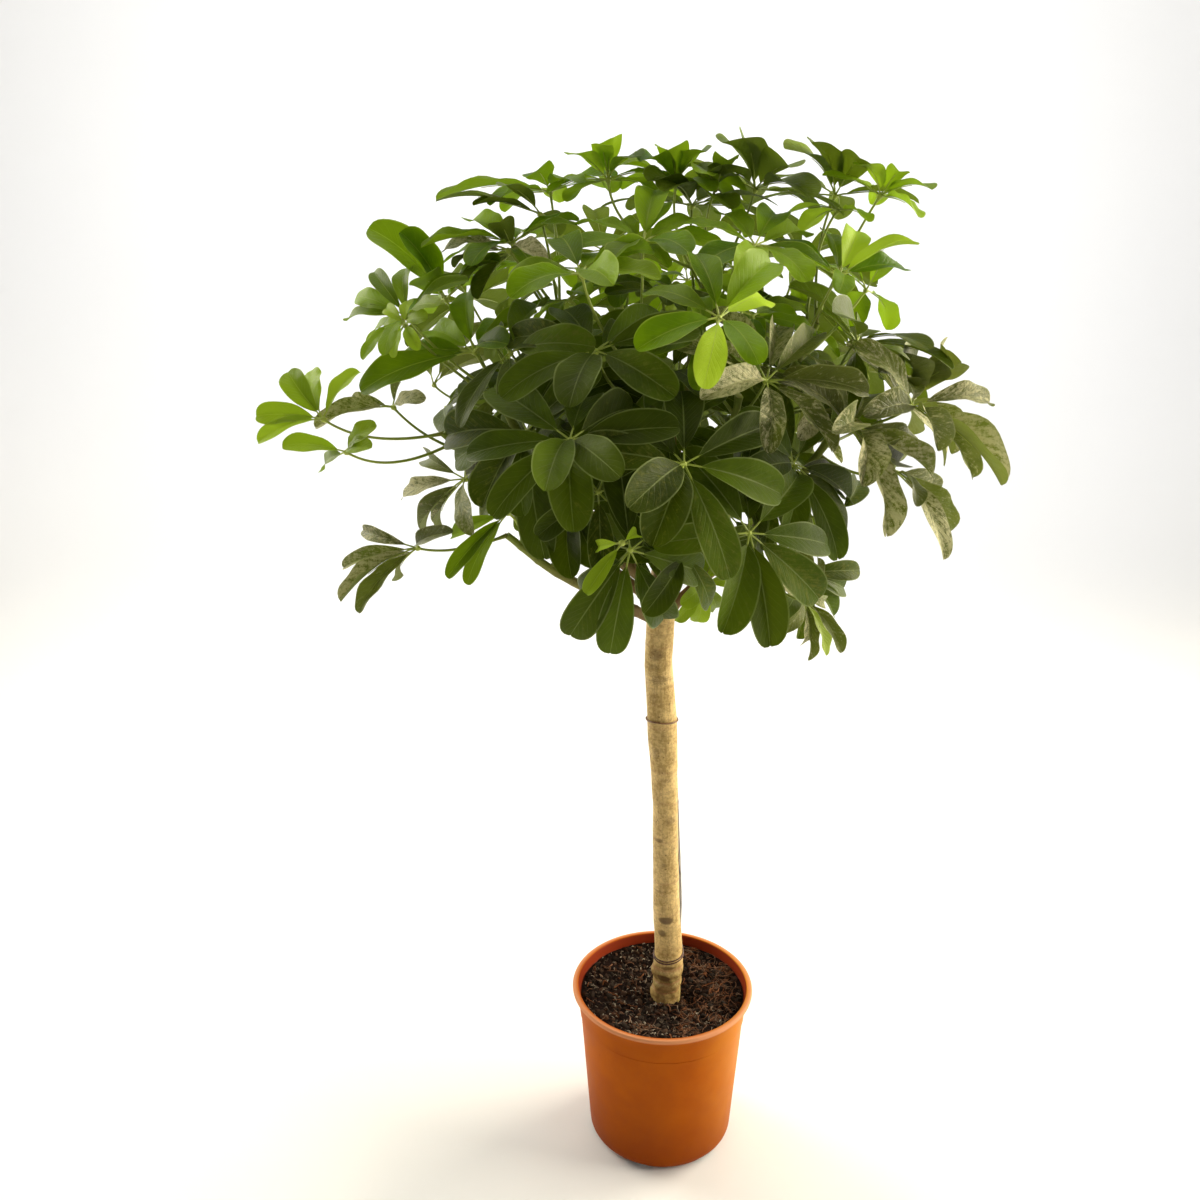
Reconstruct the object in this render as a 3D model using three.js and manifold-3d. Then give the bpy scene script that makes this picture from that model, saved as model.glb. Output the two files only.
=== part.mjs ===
// A potted umbrella plant: a small tree with a bare trunk, a round crown of whorled leaves and a nursery pot.
// Millimetres, +Z up, origin in the middle of the pot's flat underside, +Y away from the viewer.
import * as THREE from "three";
import { mergeVertices } from "three/addons/utils/BufferGeometryUtils.js";
import Module from "manifold-3d";

const wasm = await Module();
wasm.setup();

// ---- driving dimensions -------------------------------------------------------------------------

const GAP = 0.3;
const UP = new THREE.Vector3(0, 0, 1);
const MERGE_DISTANCE = 1e-4;
const SLIVER_SIZE = 0.02;

const POT = {
  height: 178,
  rimRadius: 95,
  lipDepth: 5,
  lipRound: 1.5,
  flareFoot: 156,
  flareSteps: 3,
  collarFoot: 145,
  collarStep: 0.9,
  bodyTopRadius: 87,
  baseRadius: 76.5,
  cornerRadius: 12,
  cornerSteps: 3,
  wall: 1.8,
  floor: 3,
  sides: 32,
};
const DRAIN = { count: 6, firstAngle: -1.94, width: 28, depth: 20, height: 12 };

const SOIL = {
  edgeHeight: 168,
  dip: 8,
  ridge: 0.8,
  rings: [0, 30, 58, 76],
  // the waves on its top: how many round the pot, and how far each turns per millimetre outwards
  waves: [
    { lobes: 3, twist: 0.11 },
    { lobes: 7, twist: -0.07 },
  ],
};

const TRUNK = {
  sides: 12,
  // height, sideways place and radius of the trunk, from the root end in the soil to the cut top
  stations: [
    { z: 86, x: 6, radius: 10 },
    { z: 118, x: 6, radius: 14.5 },
    { z: 154, x: 4.5, radius: 14.8 },
    { z: 165, x: 4.2, radius: 14.9 },
    { z: 176, x: 4.5, radius: 15.5 },
    { z: 186, x: 5.9, radius: 14.7 },
    { z: 195, x: 5.3, radius: 16.1 },
    { z: 206, x: 6, radius: 15.3 },
    { z: 217, x: 6.2, radius: 14.4 },
    { z: 232, x: 5.6, radius: 14.2 },
    { z: 260, x: 3.2, radius: 14 },
    { z: 312, x: 1.6, radius: 13.1 },
    { z: 362, x: 0.1, radius: 12.9 },
    { z: 387, x: -0.4, radius: 12.5 },
    { z: 412, x: -1.5, radius: 13 },
    { z: 436, x: -2.6, radius: 13.7 },
    { z: 460, x: -4.2, radius: 14.6 },
    { z: 483, x: -5.3, radius: 14.6 },
    { z: 506, x: -7, radius: 14 },
    { z: 541, x: -9.8, radius: 13.5 },
    { z: 592, x: -8, radius: 13.4 },
    { z: 632, x: -5, radius: 13 },
    { z: 648, x: -4, radius: 10.5 },
  ],
};

const CANE = {
  radius: 2.6,
  sides: 6,
  steps: 9,
  path: [
    [12, 19.5, 60],
    [15, 18.5, 150],
    [17.6, 16, 240],
    [17.2, 15.6, 280],
    [13.6, 16.4, 350],
    [9.6, 18, 420],
    [4, 19.5, 480],
    [1, 19.5, 506],
  ],
};

const LOWER_TIE = { height: 211, pitch: 5, turns: 2, wire: 0.7, stepsPerTurn: 14, sides: 3 };
const UPPER_TIE = { height: 481, pitch: 0, turns: 1, wire: 1.1, stepsPerTurn: 18, sides: 4 };
const TIE_START = Math.PI / 4;
const TIE_SLACK = 0.25;

const BRANCH = { baseRadius: 5.6, endRadius: 3.2, sides: 6, steps: 5 };

const PETIOLE = { baseRadius: 1.9, endRadius: 1.5, sides: 3, steps: 3, hubRadius: 3.6, approach: 0.42 };

const LEAFLET = {
  widthToLength: 0.4,
  arch: 0.13,
  keel: 1.1,
  crest: 0.3,
  // how far along the leaflet each section lies, and its share of the full width
  sections: [
    { at: 0.34, share: 0.55 },
    { at: 0.84, share: 0.95 },
  ],
};
const WHORL = {
  leaflets: 7,
  fewestLeaflets: 3,
  openAngle: 1.62,
  widestGap: 1.5,
  outwardShare: 0.8,
  upwardShare: 0.55,
  fillerShare: 0.92,
};
const LEAFLET_LENGTH = { old: 88, dusty: 84, young: 68 };

// The turns that are tried for a leaflet, towards the whorl's axis and round it, in radians.
const NUDGES = [
  ...[[0, 0], [0.1, 0], [-0.1, 0], [0.2, 0], [-0.2, 0]],
  ...[[0.1, 0.14], [0.1, -0.14], [-0.1, 0.14], [-0.1, -0.14]],
  ...[[0.32, 0], [-0.32, 0], [0.22, 0.28], [0.22, -0.28], [-0.22, 0.28], [-0.22, -0.28]],
];

// The bends that are tried for a petiole, sideways and upwards, as shares of its length.
const BENDS = [
  ...[[0, 0], [0, 0.12], [0, -0.12], [0.14, 0], [-0.14, 0], [0.14, 0.14], [-0.14, 0.14]],
  ...[[0.26, 0], [-0.26, 0], [0, 0.28], [0, -0.28], [0.26, 0.2], [-0.26, 0.2], [0.4, 0], [-0.4, 0]],
];

// The standpoint that the crown is sighted from. A sighting is a point of the 1200 x 1200 view.
const EYE = new THREE.Vector3(-66, -1029, 932);
const EYE_DIP = THREE.MathUtils.degToRad(17.7);
const VIEW_CENTRE = 600;
const VIEW_FOCUS = 1139;

const CROWN_CENTRE = new THREE.Vector3(-30, 0, 755);
// No whorl faces this way, so that a right-angled frame can always be made with it.
const UNFACED = new THREE.Vector3(0.3, 0.8, 0.52);

// The crown's outline in the view. Leaflets that aren't sighted stay inside it.
const CROWN_OUTLINE = [
  ...[[366, 226], [420, 232], [445, 200], [500, 186], [545, 172], [570, 150], [610, 140], [700, 148]],
  ...[[745, 138], [835, 142], [935, 190], [915, 215], [880, 215], [880, 232], [918, 250], [890, 285]],
  ...[[885, 330], [935, 345], [955, 385], [990, 400], [1002, 485], [965, 475], [945, 560], [905, 500]],
  ...[[885, 535], [850, 485], [845, 530], [858, 570], [835, 600], [840, 655], [800, 655], [770, 645]],
  ...[[730, 632], [690, 620], [640, 640], [600, 652], [585, 632], [560, 575], [530, 560], [505, 520]],
  ...[[470, 580], [445, 575], [480, 520], [470, 470], [435, 440], [470, 400], [480, 360], [440, 352]],
  ...[[360, 378], [350, 320], [370, 280]],
];

// Each branch runs from inside the trunk top through its path. A leaf leaves it at a share `on` of it.
// A sighted leaf gives its hub and leaflet tips in the view, and its reach: how far before the trunk it is.
// All leaflets of a whole one are sighted. A leaf out of sight gives its hub as a place in millimetres.
const BRANCHES = {
  low_front: {
    path: [[-7, 0, 603], [-8, -40, 629], [-8, -85, 672], [-4, -118, 711]],
    leaves: [
      { on: 1, finish: "old", hub: [684, 464], reach: 205,
        tips: [[681, 391], [767, 426], [781, 494], [730, 579], [628, 509], [652, 547], [636, 429]] },
      { on: 0.8, finish: "old", hub: [630, 550], reach: 180,
        tips: [[570, 636], [610, 654], [664, 619], [702, 573], [585, 598], [594, 540]] },
      { on: 0.9, finish: "old", hub: [749, 533], reach: 180,
        tips: [[828, 545], [819, 599], [770, 647], [722, 634], [798, 474], [733, 480]] },
      { on: 0.5, finish: "young", hub: [702, 582], reach: 95, length: 44,
        tips: [[716, 608], [697, 622], [680, 604]] },
      { on: 0.4, finish: "old", hub: [640, 548], reach: 60, length: 56,
        tips: [[702, 578], [606, 511], [592, 566], [668, 512]] },
    ],
  },
  front: {
    path: [[-8, 0, 621], [-20, -42, 682], [-32, -78, 756], [-37, -92, 824]],
    leaves: [
      { on: 0.8, finish: "old", hub: [570, 440], reach: 195,
        tips: [[493, 387], [634, 410], [621, 478], [574, 533], [591, 399], [545, 492]] },
      { on: 0.88, finish: "old", hub: [596, 351], reach: 150,
        tips: [[569, 408], [521, 377], [509, 340], [575, 296], [638, 335]] },
      { on: 1, finish: "young", hub: [582, 275], reach: 128,
        tips: [[510, 298], [560, 238], [614, 286], [605, 255]] },
      { on: 0.94, finish: "young", hub: [643, 243], reach: 84,
        tips: [[578, 225], [660, 203], [700, 222], [690, 254], [655, 190]] },
      { on: 0.7, finish: "old", hub: [668, 375], reach: 70,
        tips: [[640, 440], [705, 398], [620, 372], [660, 425]] },
    ],
  },
  front_right: {
    path: [[-6, 0, 633], [18, -48, 695], [36, -90, 756], [46, -110, 810]],
    leaves: [
      { on: 1, finish: "young", hub: [719, 318], reach: 208, length: 68, whole: true,
        tips: [[646, 292], [695, 254], [771, 262], [765, 300], [636, 350], [703, 389], [759, 365]] },
      { on: 0.86, finish: "dusty", hub: [766, 381], reach: 132,
        tips: [[818, 334], [801, 405], [868, 393], [775, 328], [700, 400]] },
      { on: 0.94, finish: "young", hub: [755, 246], reach: 90,
        tips: [[806, 238], [776, 214], [742, 282], [720, 215], [700, 268]] },
    ],
  },
  left: {
    path: [[-9, 0, 611], [-62, -30, 664], [-118, -52, 736], [-160, -60, 822]],
    leaves: [
      { on: 0.7, finish: "old", hub: [527, 431], reach: 128,
        tips: [[524, 517], [482, 508], [455, 461], [447, 436], [545, 560]] },
      { on: 1, finish: "young", hub: [474, 352], reach: 62,
        tips: [[355, 377], [468, 292], [432, 330], [400, 362], [515, 322]] },
      { on: 0.93, finish: "young", hub: [408, 318], reach: 66,
        tips: [[347, 321], [356, 297], [374, 272], [408, 268], [440, 305], [368, 344]] },
      { on: 0.86, finish: "young", hub: [446, 300], reach: 6,
        tips: [[368, 228], [400, 232], [500, 262], [416, 290]] },
    ],
  },
  far_left: {
    path: [[-9, 0, 598], [-78, -10, 654], [-146, -20, 711], [-204, -30, 767]],
    leaves: [
      { on: 1, finish: "young", hub: [323, 419], reach: 62, length: 56,
        tips: [[288, 372], [312, 370], [256, 416], [258, 443]] },
      { on: 0.95, finish: "young", hub: [346, 452], reach: 78, length: 48,
        tips: [[325, 469], [377, 426], [372, 448], [282, 446]] },
      { on: 0.9, finish: "dusty", hub: [393, 407], reach: 36, length: 52,
        tips: [[412, 376], [426, 400], [350, 408], [318, 437]] },
      { on: 0.8, finish: "dusty", hub: [465, 479], reach: 62,
        tips: [[430, 458], [403, 497], [427, 535], [446, 530]] },
    ],
  },
  low_left: {
    path: [[-10, 0, 582], [-56, -34, 615], [-106, -62, 650], [-146, -78, 687]],
    leaves: [
      { on: 1, finish: "dusty", hub: [417, 548], reach: 92, length: 72,
        tips: [[363, 530], [343, 568], [341, 602], [358, 613], [404, 575], [454, 532]] },
      { on: 0.9, finish: "young", hub: [508, 513], reach: 90,
        tips: [[447, 578], [467, 585], [452, 536]] },
      { on: 0.7, finish: "old", hub: [574, 505], reach: 96,
        tips: [[542, 562], [572, 579], [600, 566]] },
    ],
  },
  upper_left: {
    path: [[-7, 0, 637], [-44, 12, 721], [-84, 14, 806], [-108, 6, 875]],
    leaves: [
      { on: 1, finish: "young", hub: [513, 243], reach: 22,
        tips: [[421, 248], [443, 264], [540, 280], [470, 222]] },
      { on: 0.92, finish: "young", hub: [550, 192], reach: -34,
        tips: [[436, 201], [535, 172], [578, 184], [490, 206]] },
    ],
  },
  top: {
    path: [[-5, 0, 639], [4, 20, 736], [18, 30, 828], [30, 28, 900]],
    leaves: [
      { on: 1, finish: "young", hub: [608, 180], reach: -10, length: 58,
        tips: [[568, 155], [600, 144], [614, 137], [641, 156]] },
      { on: 0.93, finish: "young", hub: [676, 186], reach: -20,
        tips: [[640, 162], [668, 150], [706, 152], [712, 192]] },
      { on: 0.86, finish: "old", hub: [755, 190], reach: -24,
        tips: [[743, 138], [722, 143], [700, 176], [790, 168], [812, 200]] },
      { on: 0.8, finish: "old", hub: [692, 206], reach: -32,
        tips: [[652, 160], [664, 192], [735, 174], [706, 232]] },
    ],
  },
  upper_right: {
    path: [[-4, 0, 627], [42, 8, 707], [92, 6, 791], [124, -4, 859]],
    leaves: [
      { on: 1, finish: "old", hub: [835, 196], reach: -38,
        tips: [[812, 142], [784, 149], [860, 158], [764, 182], [742, 202]] },
      { on: 0.94, finish: "young", hub: [880, 196], reach: -4, length: 58,
        tips: [[900, 172], [932, 190], [918, 217], [858, 165]] },
      { on: 0.88, finish: "young", hub: [838, 277], reach: 62,
        tips: [[856, 231], [824, 233], [906, 270], [918, 245]] },
      { on: 0.82, finish: "young", hub: [866, 290], reach: -50, length: 74,
        tips: [[880, 262], [886, 330], [840, 330]] },
    ],
  },
  right: {
    path: [[-5, 0, 590], [46, -18, 646], [98, -40, 713], [140, -58, 781]],
    leaves: [
      { on: 1, finish: "dusty", hub: [849, 427], reach: 96,
        tips: [[919, 454], [932, 476], [886, 537], [862, 487], [822, 440]] },
      { on: 0.97, finish: "dusty", hub: [912, 406], reach: 62,
        tips: [[989, 405], [1001, 486], [972, 478], [938, 452], [862, 416]] },
      { on: 0.94, finish: "old", hub: [856, 342], reach: 8,
        tips: [[953, 370], [930, 350], [880, 380], [832, 312]] },
      { on: 0.86, finish: "dusty", hub: [893, 470], reach: 50,
        tips: [[934, 499], [948, 533], [944, 560]] },
      { on: 0.72, finish: "old", hub: [793, 464], reach: 100,
        tips: [[837, 492], [849, 500], [846, 537], [838, 560]] },
      { on: 0.52, finish: "dusty", hub: [804, 600], reach: 92, length: 52,
        tips: [[800, 646], [808, 661], [826, 656], [842, 653]] },
      { on: 0.6, finish: "old", hub: [800, 572], reach: 40, length: 66,
        tips: [[860, 570], [844, 588], [834, 616]] },
      { on: 0.9, finish: "dusty", hub: [900, 400], reach: -20,
        tips: [[951, 374], [926, 352], [903, 352], [868, 372]] },
    ],
  },
  back: {
    path: [[-6, 4, 621], [-14, 58, 695], [-26, 104, 775], [-34, 128, 844]],
    leaves: [
      { on: 1, finish: "old", place: [-62, 226, 918] },
      { on: 0.92, finish: "old", place: [26, 214, 888] },
      { on: 0.84, finish: "old", place: [-46, 262, 832] },
      { on: 0.6, finish: "old", place: [4, 232, 736] },
    ],
  },
  back_left: {
    path: [[-9, 3, 605], [-60, 44, 654], [-110, 84, 724], [-142, 106, 791]],
    leaves: [
      { on: 1, finish: "old", place: [-196, 146, 871] },
      { on: 0.92, finish: "dusty", place: [-232, 120, 791] },
      { on: 0.82, finish: "old", place: [-158, 208, 777] },
      { on: 0.6, finish: "old", place: [-122, 176, 676] },
    ],
  },
  back_right: {
    path: [[-3, 3, 611], [40, 46, 672], [78, 84, 748], [98, 104, 820]],
    leaves: [
      { on: 1, finish: "old", place: [132, 142, 910] },
      { on: 0.92, finish: "old", place: [188, 128, 822] },
      { on: 0.82, finish: "old", place: [122, 208, 791] },
      { on: 0.6, finish: "old", place: [112, 150, 687] },
    ],
  },
};

// ---- solids -------------------------------------------------------------------------------------

/** Makes a solid of a closed geometry. */
function solidOf(geometry) {
  const bare = geometry.clone();
  bare.deleteAttribute("normal");
  bare.deleteAttribute("uv");
  const merged = mergeVertices(bare, MERGE_DISTANCE);
  const mesh = new wasm.Mesh({
    numProp: 3,
    vertProperties: new Float32Array(merged.attributes.position.array),
    triVerts: new Uint32Array(merged.index.array),
  });
  return new wasm.Manifold(mesh);
}

/** Makes a geometry with flat faces of a solid. */
function geometryOf(solid) {
  const mesh = solid.getMesh();
  const geometry = new THREE.BufferGeometry();
  geometry.setAttribute("position", new THREE.BufferAttribute(mesh.vertProperties, 3));
  geometry.setIndex(new THREE.BufferAttribute(mesh.triVerts, 1));
  geometry.computeVertexNormals();
  return geometry;
}

/** The largest of the bodies that a cut leaves, without slivers. */
function mainBody(solid) {
  const bodies = solid.simplify(SLIVER_SIZE).decompose();
  return bodies.reduce((best, body) => (body.volume() > best.volume() ? body : best));
}

/** Six times the volume inside the triangles, below zero where they face in. */
function facing(points, triangles) {
  let sum = 0;
  for (const [a, b, c] of triangles) {
    sum += points[a].dot(new THREE.Vector3().crossVectors(points[b], points[c]));
  }
  return sum;
}

/** Joins rings of equal count into one closed skin that runs to a point at each end. */
function skinOver(rings, firstPoint, lastPoint) {
  const count = rings[0].length;
  const points = [firstPoint, ...rings.flat(), lastPoint];
  const last = points.length - 1;
  const triangles = [];
  for (let i = 0; i < count; i += 1) {
    const next = (i + 1) % count;
    triangles.push([0, 1 + next, 1 + i]);
    for (let r = 0; r < rings.length - 1; r += 1) {
      const a = 1 + r * count;
      const b = a + count;
      triangles.push([a + i, a + next, b + i], [a + next, b + next, b + i]);
    }
    triangles.push([last - count + i, last - count + next, last]);
  }
  if (facing(points, triangles) < 0) {
    triangles.forEach((t) => t.reverse());
  }
  const geometry = new THREE.BufferGeometry();
  geometry.setAttribute("position", new THREE.Float32BufferAttribute(points.flatMap((p) => p.toArray()), 3));
  geometry.setIndex(triangles.flat());
  return geometry;
}

/** A round stem along a curve, whose radius runs from one value to the other. */
function stemSolid(curve, { baseRadius, endRadius, sides, steps }, grow = 0) {
  const { normals, binormals } = curve.computeFrenetFrames(steps, false);
  const rings = [];
  for (let s = 0; s <= steps; s += 1) {
    const centre = curve.getPointAt(s / steps);
    const radius = THREE.MathUtils.lerp(baseRadius, endRadius, s / steps) + grow;
    const ring = [];
    for (let i = 0; i < sides; i += 1) {
      const angle = (i / sides) * Math.PI * 2;
      const point = centre.clone();
      point.addScaledVector(normals[s], Math.cos(angle) * radius);
      point.addScaledVector(binormals[s], Math.sin(angle) * radius);
      ring.push(point);
    }
    rings.push(ring);
  }
  return solidOf(skinOver(rings, curve.getPointAt(0), curve.getPointAt(1)));
}

/** Keeps the solids that are already placed, and says whether a new one is clear of them. */
class Placed {
  constructor() {
    this.items = [];
  }

  add(owner, solid) {
    this.items.push({ owner, solid, box: solid.boundingBox() });
  }

  near(solid, exceptOwner) {
    const { min, max } = solid.boundingBox();
    return this.items.filter(({ owner, box }) => {
      const meets = [0, 1, 2].every((k) => box.min[k] <= max[k] && box.max[k] >= min[k]);
      return owner !== exceptOwner && meets;
    });
  }

  isClear(solid, exceptOwner) {
    return this.near(solid, exceptOwner).every((item) => solid.intersect(item.solid).isEmpty());
  }
}

// ---- pot and soil -------------------------------------------------------------------------------

/** Outer radius of the pot's tapered body at a height. */
function bodyRadius(z) {
  const share = (z - POT.cornerRadius) / (POT.flareFoot - POT.cornerRadius);
  return THREE.MathUtils.lerp(POT.baseRadius, POT.bodyTopRadius, share);
}

/** The round corner between floor and wall, from the floor up, set inside the outer skin by an inset. */
function cornerArc(inset, lift) {
  const radius = POT.cornerRadius - inset;
  const points = [];
  for (let i = 0; i <= POT.cornerSteps; i += 1) {
    const angle = (i / POT.cornerSteps) * (Math.PI / 2);
    const across = POT.baseRadius - POT.cornerRadius + Math.sin(angle) * radius;
    const height = Math.max(lift, POT.cornerRadius - Math.cos(angle) * radius);
    points.push(new THREE.Vector2(across, height));
  }
  return points;
}

/** The flare under the lip, a hollow curve from the radius at its foot to the one at its top. */
function flareArc(footRadius, topRadius) {
  const topHeight = POT.height - POT.lipDepth;
  const points = [];
  for (let i = 0; i <= POT.flareSteps; i += 1) {
    const share = i / POT.flareSteps;
    const across = THREE.MathUtils.lerp(footRadius, topRadius, share * share);
    points.push(new THREE.Vector2(across, THREE.MathUtils.lerp(POT.flareFoot, topHeight, share)));
  }
  return points;
}

/** The nursery pot: a thin tapered shell with a collar line, a flare, a turned-out lip and drains. */
function potGeometry() {
  const lipUnder = POT.height - POT.lipDepth;
  const flareTop = POT.rimRadius - POT.lipDepth;
  const flareFoot = bodyRadius(POT.flareFoot);
  const profile = [
    new THREE.Vector2(0, 0),
    ...cornerArc(0, 0),
    new THREE.Vector2(bodyRadius(POT.collarFoot), POT.collarFoot),
    new THREE.Vector2(bodyRadius(POT.collarFoot) + POT.collarStep, POT.collarFoot + POT.collarStep),
    ...flareArc(flareFoot + POT.collarStep, flareTop),
    new THREE.Vector2(POT.rimRadius - POT.lipRound, lipUnder),
    new THREE.Vector2(POT.rimRadius, lipUnder + POT.lipRound),
    new THREE.Vector2(POT.rimRadius, POT.height - POT.lipRound),
    new THREE.Vector2(POT.rimRadius - POT.lipRound, POT.height),
    new THREE.Vector2(flareTop - POT.lipRound, POT.height),
    ...flareArc(flareFoot - POT.wall, flareTop - POT.wall).reverse(),
    ...cornerArc(POT.wall, POT.floor).reverse(),
    new THREE.Vector2(0, POT.floor),
  ];
  let pot = solidOf(upright(new THREE.LatheGeometry(profile, POT.sides)));
  for (let i = 0; i < DRAIN.count; i += 1) {
    const notch = new THREE.BoxGeometry(DRAIN.depth, DRAIN.width, DRAIN.height);
    notch.translate(POT.baseRadius, 0, 0);
    notch.rotateZ(DRAIN.firstAngle + (i * Math.PI * 2) / DRAIN.count);
    pot = pot.subtract(solidOf(notch));
  }
  return geometryOf(mainBody(pot));
}

/** Height of the soil's top at a distance from the middle and an angle. */
function soilTop(radius, angle) {
  const share = radius / POT.bodyTopRadius;
  const bumps = SOIL.waves.reduce((sum, wave) => sum + Math.sin(wave.lobes * angle + wave.twist * radius), 0);
  return SOIL.edgeHeight - SOIL.dip * (1 - share * share) + SOIL.ridge * bumps * share;
}

/** The soil that fills the pot, with the pockets that the trunk and the cane stand in. */
function soilGeometry(trunkSpace, caneSpace) {
  const edge = bodyRadius(POT.flareFoot) - POT.wall - GAP;
  const floor = POT.floor + GAP;
  const profile = [
    new THREE.Vector2(0, floor),
    ...cornerArc(POT.wall + GAP, floor),
    new THREE.Vector2(edge, SOIL.edgeHeight),
    ...SOIL.rings.toReversed().map((radius) => new THREE.Vector2(radius, SOIL.edgeHeight)),
  ];
  const geometry = new THREE.LatheGeometry(profile, POT.sides);
  const position = geometry.attributes.position;
  for (let i = 0; i < position.count; i += 1) {
    if (position.getY(i) === SOIL.edgeHeight) {
      const radius = Math.hypot(position.getX(i), position.getZ(i));
      const angle = Math.atan2(position.getZ(i), position.getX(i));
      position.setY(i, soilTop(radius, radius > 0 ? angle : 0));
    }
  }
  const soil = solidOf(upright(geometry)).subtract(trunkSpace).subtract(caneSpace);
  return geometryOf(mainBody(soil));
}

/** Turns a lathed geometry, whose axis is Y, so that it stands on Z. */
function upright(geometry) {
  return geometry.rotateX(Math.PI / 2);
}

// ---- trunk, cane and ties -----------------------------------------------------------------------

/** The trunk's sideways place and radius at a height, between its stations. */
function trunkAt(z) {
  const { stations } = TRUNK;
  const above = Math.max(1, stations.findIndex((s) => s.z >= z));
  const [a, b] = [stations[above - 1], stations[above]];
  const share = (z - a.z) / (b.z - a.z);
  return {
    x: THREE.MathUtils.lerp(a.x, b.x, share),
    radius: THREE.MathUtils.lerp(a.radius, b.radius, share),
  };
}

/** The trunk, a lathed pole whose rings then slide sideways to follow its slight bow. */
function trunkSolid(grow = 0) {
  const { stations, sides } = TRUNK;
  const low = stations[0].z - grow;
  const high = stations.at(-1).z + grow;
  const profile = [
    new THREE.Vector2(0, low),
    ...stations.map((s) => new THREE.Vector2(s.radius + grow, s.z)),
    new THREE.Vector2(0, high),
  ];
  const geometry = upright(new THREE.LatheGeometry(profile, sides));
  const position = geometry.attributes.position;
  for (let i = 0; i < position.count; i += 1) {
    const z = THREE.MathUtils.clamp(position.getZ(i), stations[0].z, stations.at(-1).z);
    position.setX(i, position.getX(i) + trunkAt(z).x);
  }
  return solidOf(geometry);
}

/** The thin cane behind the trunk, which the ties hold it to. */
function caneSolid(grow = 0) {
  const { radius, sides, steps } = CANE;
  return stemSolid(curveThrough(CANE.path), { baseRadius: radius, endRadius: radius, sides, steps }, grow);
}

/** A smooth curve through places. */
function curveThrough(path) {
  return new THREE.CatmullRomCurve3(path.map((p) => new THREE.Vector3(...p)));
}

/** A point on the tight outline round trunk and cane together, in a direction. */
function bundlePoint(z, angle, stand) {
  const out = new THREE.Vector3(Math.cos(angle), Math.sin(angle), 0);
  const trunk = trunkAt(z);
  const rounds = [
    { centre: new THREE.Vector3(trunk.x, 0, z), radius: trunk.radius },
    { centre: caneAt(z), radius: CANE.radius },
  ];
  const [outer] = rounds.sort((a, b) => b.centre.dot(out) + b.radius - a.centre.dot(out) - a.radius);
  return outer.centre.addScaledVector(out, outer.radius + stand);
}

/** The cane's middle at a height, found by halving. */
function caneAt(z) {
  const halvings = 24;
  const curve = curveThrough(CANE.path);
  let [low, high] = [0, 1];
  for (let i = 0; i < halvings; i += 1) {
    const middle = (low + high) / 2;
    [low, high] = curve.getPoint(middle).z < z ? [middle, high] : [low, middle];
  }
  return curve.getPoint(low).setZ(z);
}

/** A wire wound round trunk and cane: an open winding, or a closed ring where its pitch is nothing. */
function tieGeometry({ height, pitch, turns, wire, stepsPerTurn, sides }) {
  const steps = turns * stepsPerTurn;
  const closed = pitch === 0;
  const rings = [];
  for (let s = 0; s <= steps; s += 1) {
    const angle = TIE_START + (s / stepsPerTurn) * Math.PI * 2;
    const z = height + (pitch * s) / stepsPerTurn;
    const out = new THREE.Vector3(Math.cos(angle), Math.sin(angle), 0);
    const centre = bundlePoint(z, angle, GAP + wire * (1 + TIE_SLACK));
    const ring = [];
    for (let i = 0; i < sides; i += 1) {
      const turn = (i / sides) * Math.PI * 2;
      const point = centre.clone().addScaledVector(out, Math.cos(turn) * wire);
      ring.push(point.addScaledVector(UP, Math.sin(turn) * wire));
    }
    rings.push(ring);
  }
  return closed ? ringGeometry(rings.slice(0, -1)) : openWire(rings);
}

/** An open wire over rings, with flat ends. */
function openWire(rings) {
  const middle = (ring) => ring.reduce((sum, p) => sum.add(p), new THREE.Vector3()).divideScalar(ring.length);
  return skinOver(rings, middle(rings[0]), middle(rings.at(-1)));
}

/** A ring of wire that closes on itself. */
function ringGeometry(rings) {
  const count = rings[0].length;
  const triangles = [];
  for (let r = 0; r < rings.length; r += 1) {
    const a = r * count;
    const b = ((r + 1) % rings.length) * count;
    for (let i = 0; i < count; i += 1) {
      const next = (i + 1) % count;
      triangles.push([a + i, b + i, a + next], [a + next, b + i, b + next]);
    }
  }
  const points = rings.flat();
  if (facing(points, triangles) < 0) {
    triangles.forEach((t) => t.reverse());
  }
  const geometry = new THREE.BufferGeometry();
  geometry.setAttribute("position", new THREE.Float32BufferAttribute(points.flatMap((p) => p.toArray()), 3));
  geometry.setIndex(triangles.flat());
  return geometry;
}

// ---- crown --------------------------------------------------------------------------------------

/** The direction in which a point of the view is seen. */
function sightLine([across, down]) {
  const side = (across - VIEW_CENTRE) / VIEW_FOCUS;
  const rise = (VIEW_CENTRE - down) / VIEW_FOCUS;
  const ahead = Math.cos(EYE_DIP) + rise * Math.sin(EYE_DIP);
  const up = rise * Math.cos(EYE_DIP) - Math.sin(EYE_DIP);
  return new THREE.Vector3(side, ahead, up).normalize();
}

/** Where in the view a place is seen. */
function sightingOf(place) {
  const away = place.clone().sub(EYE);
  const ahead = away.y * Math.cos(EYE_DIP) - away.z * Math.sin(EYE_DIP);
  const up = away.z * Math.cos(EYE_DIP) + away.y * Math.sin(EYE_DIP);
  return [VIEW_CENTRE + (VIEW_FOCUS * away.x) / ahead, VIEW_CENTRE - (VIEW_FOCUS * up) / ahead];
}

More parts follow.
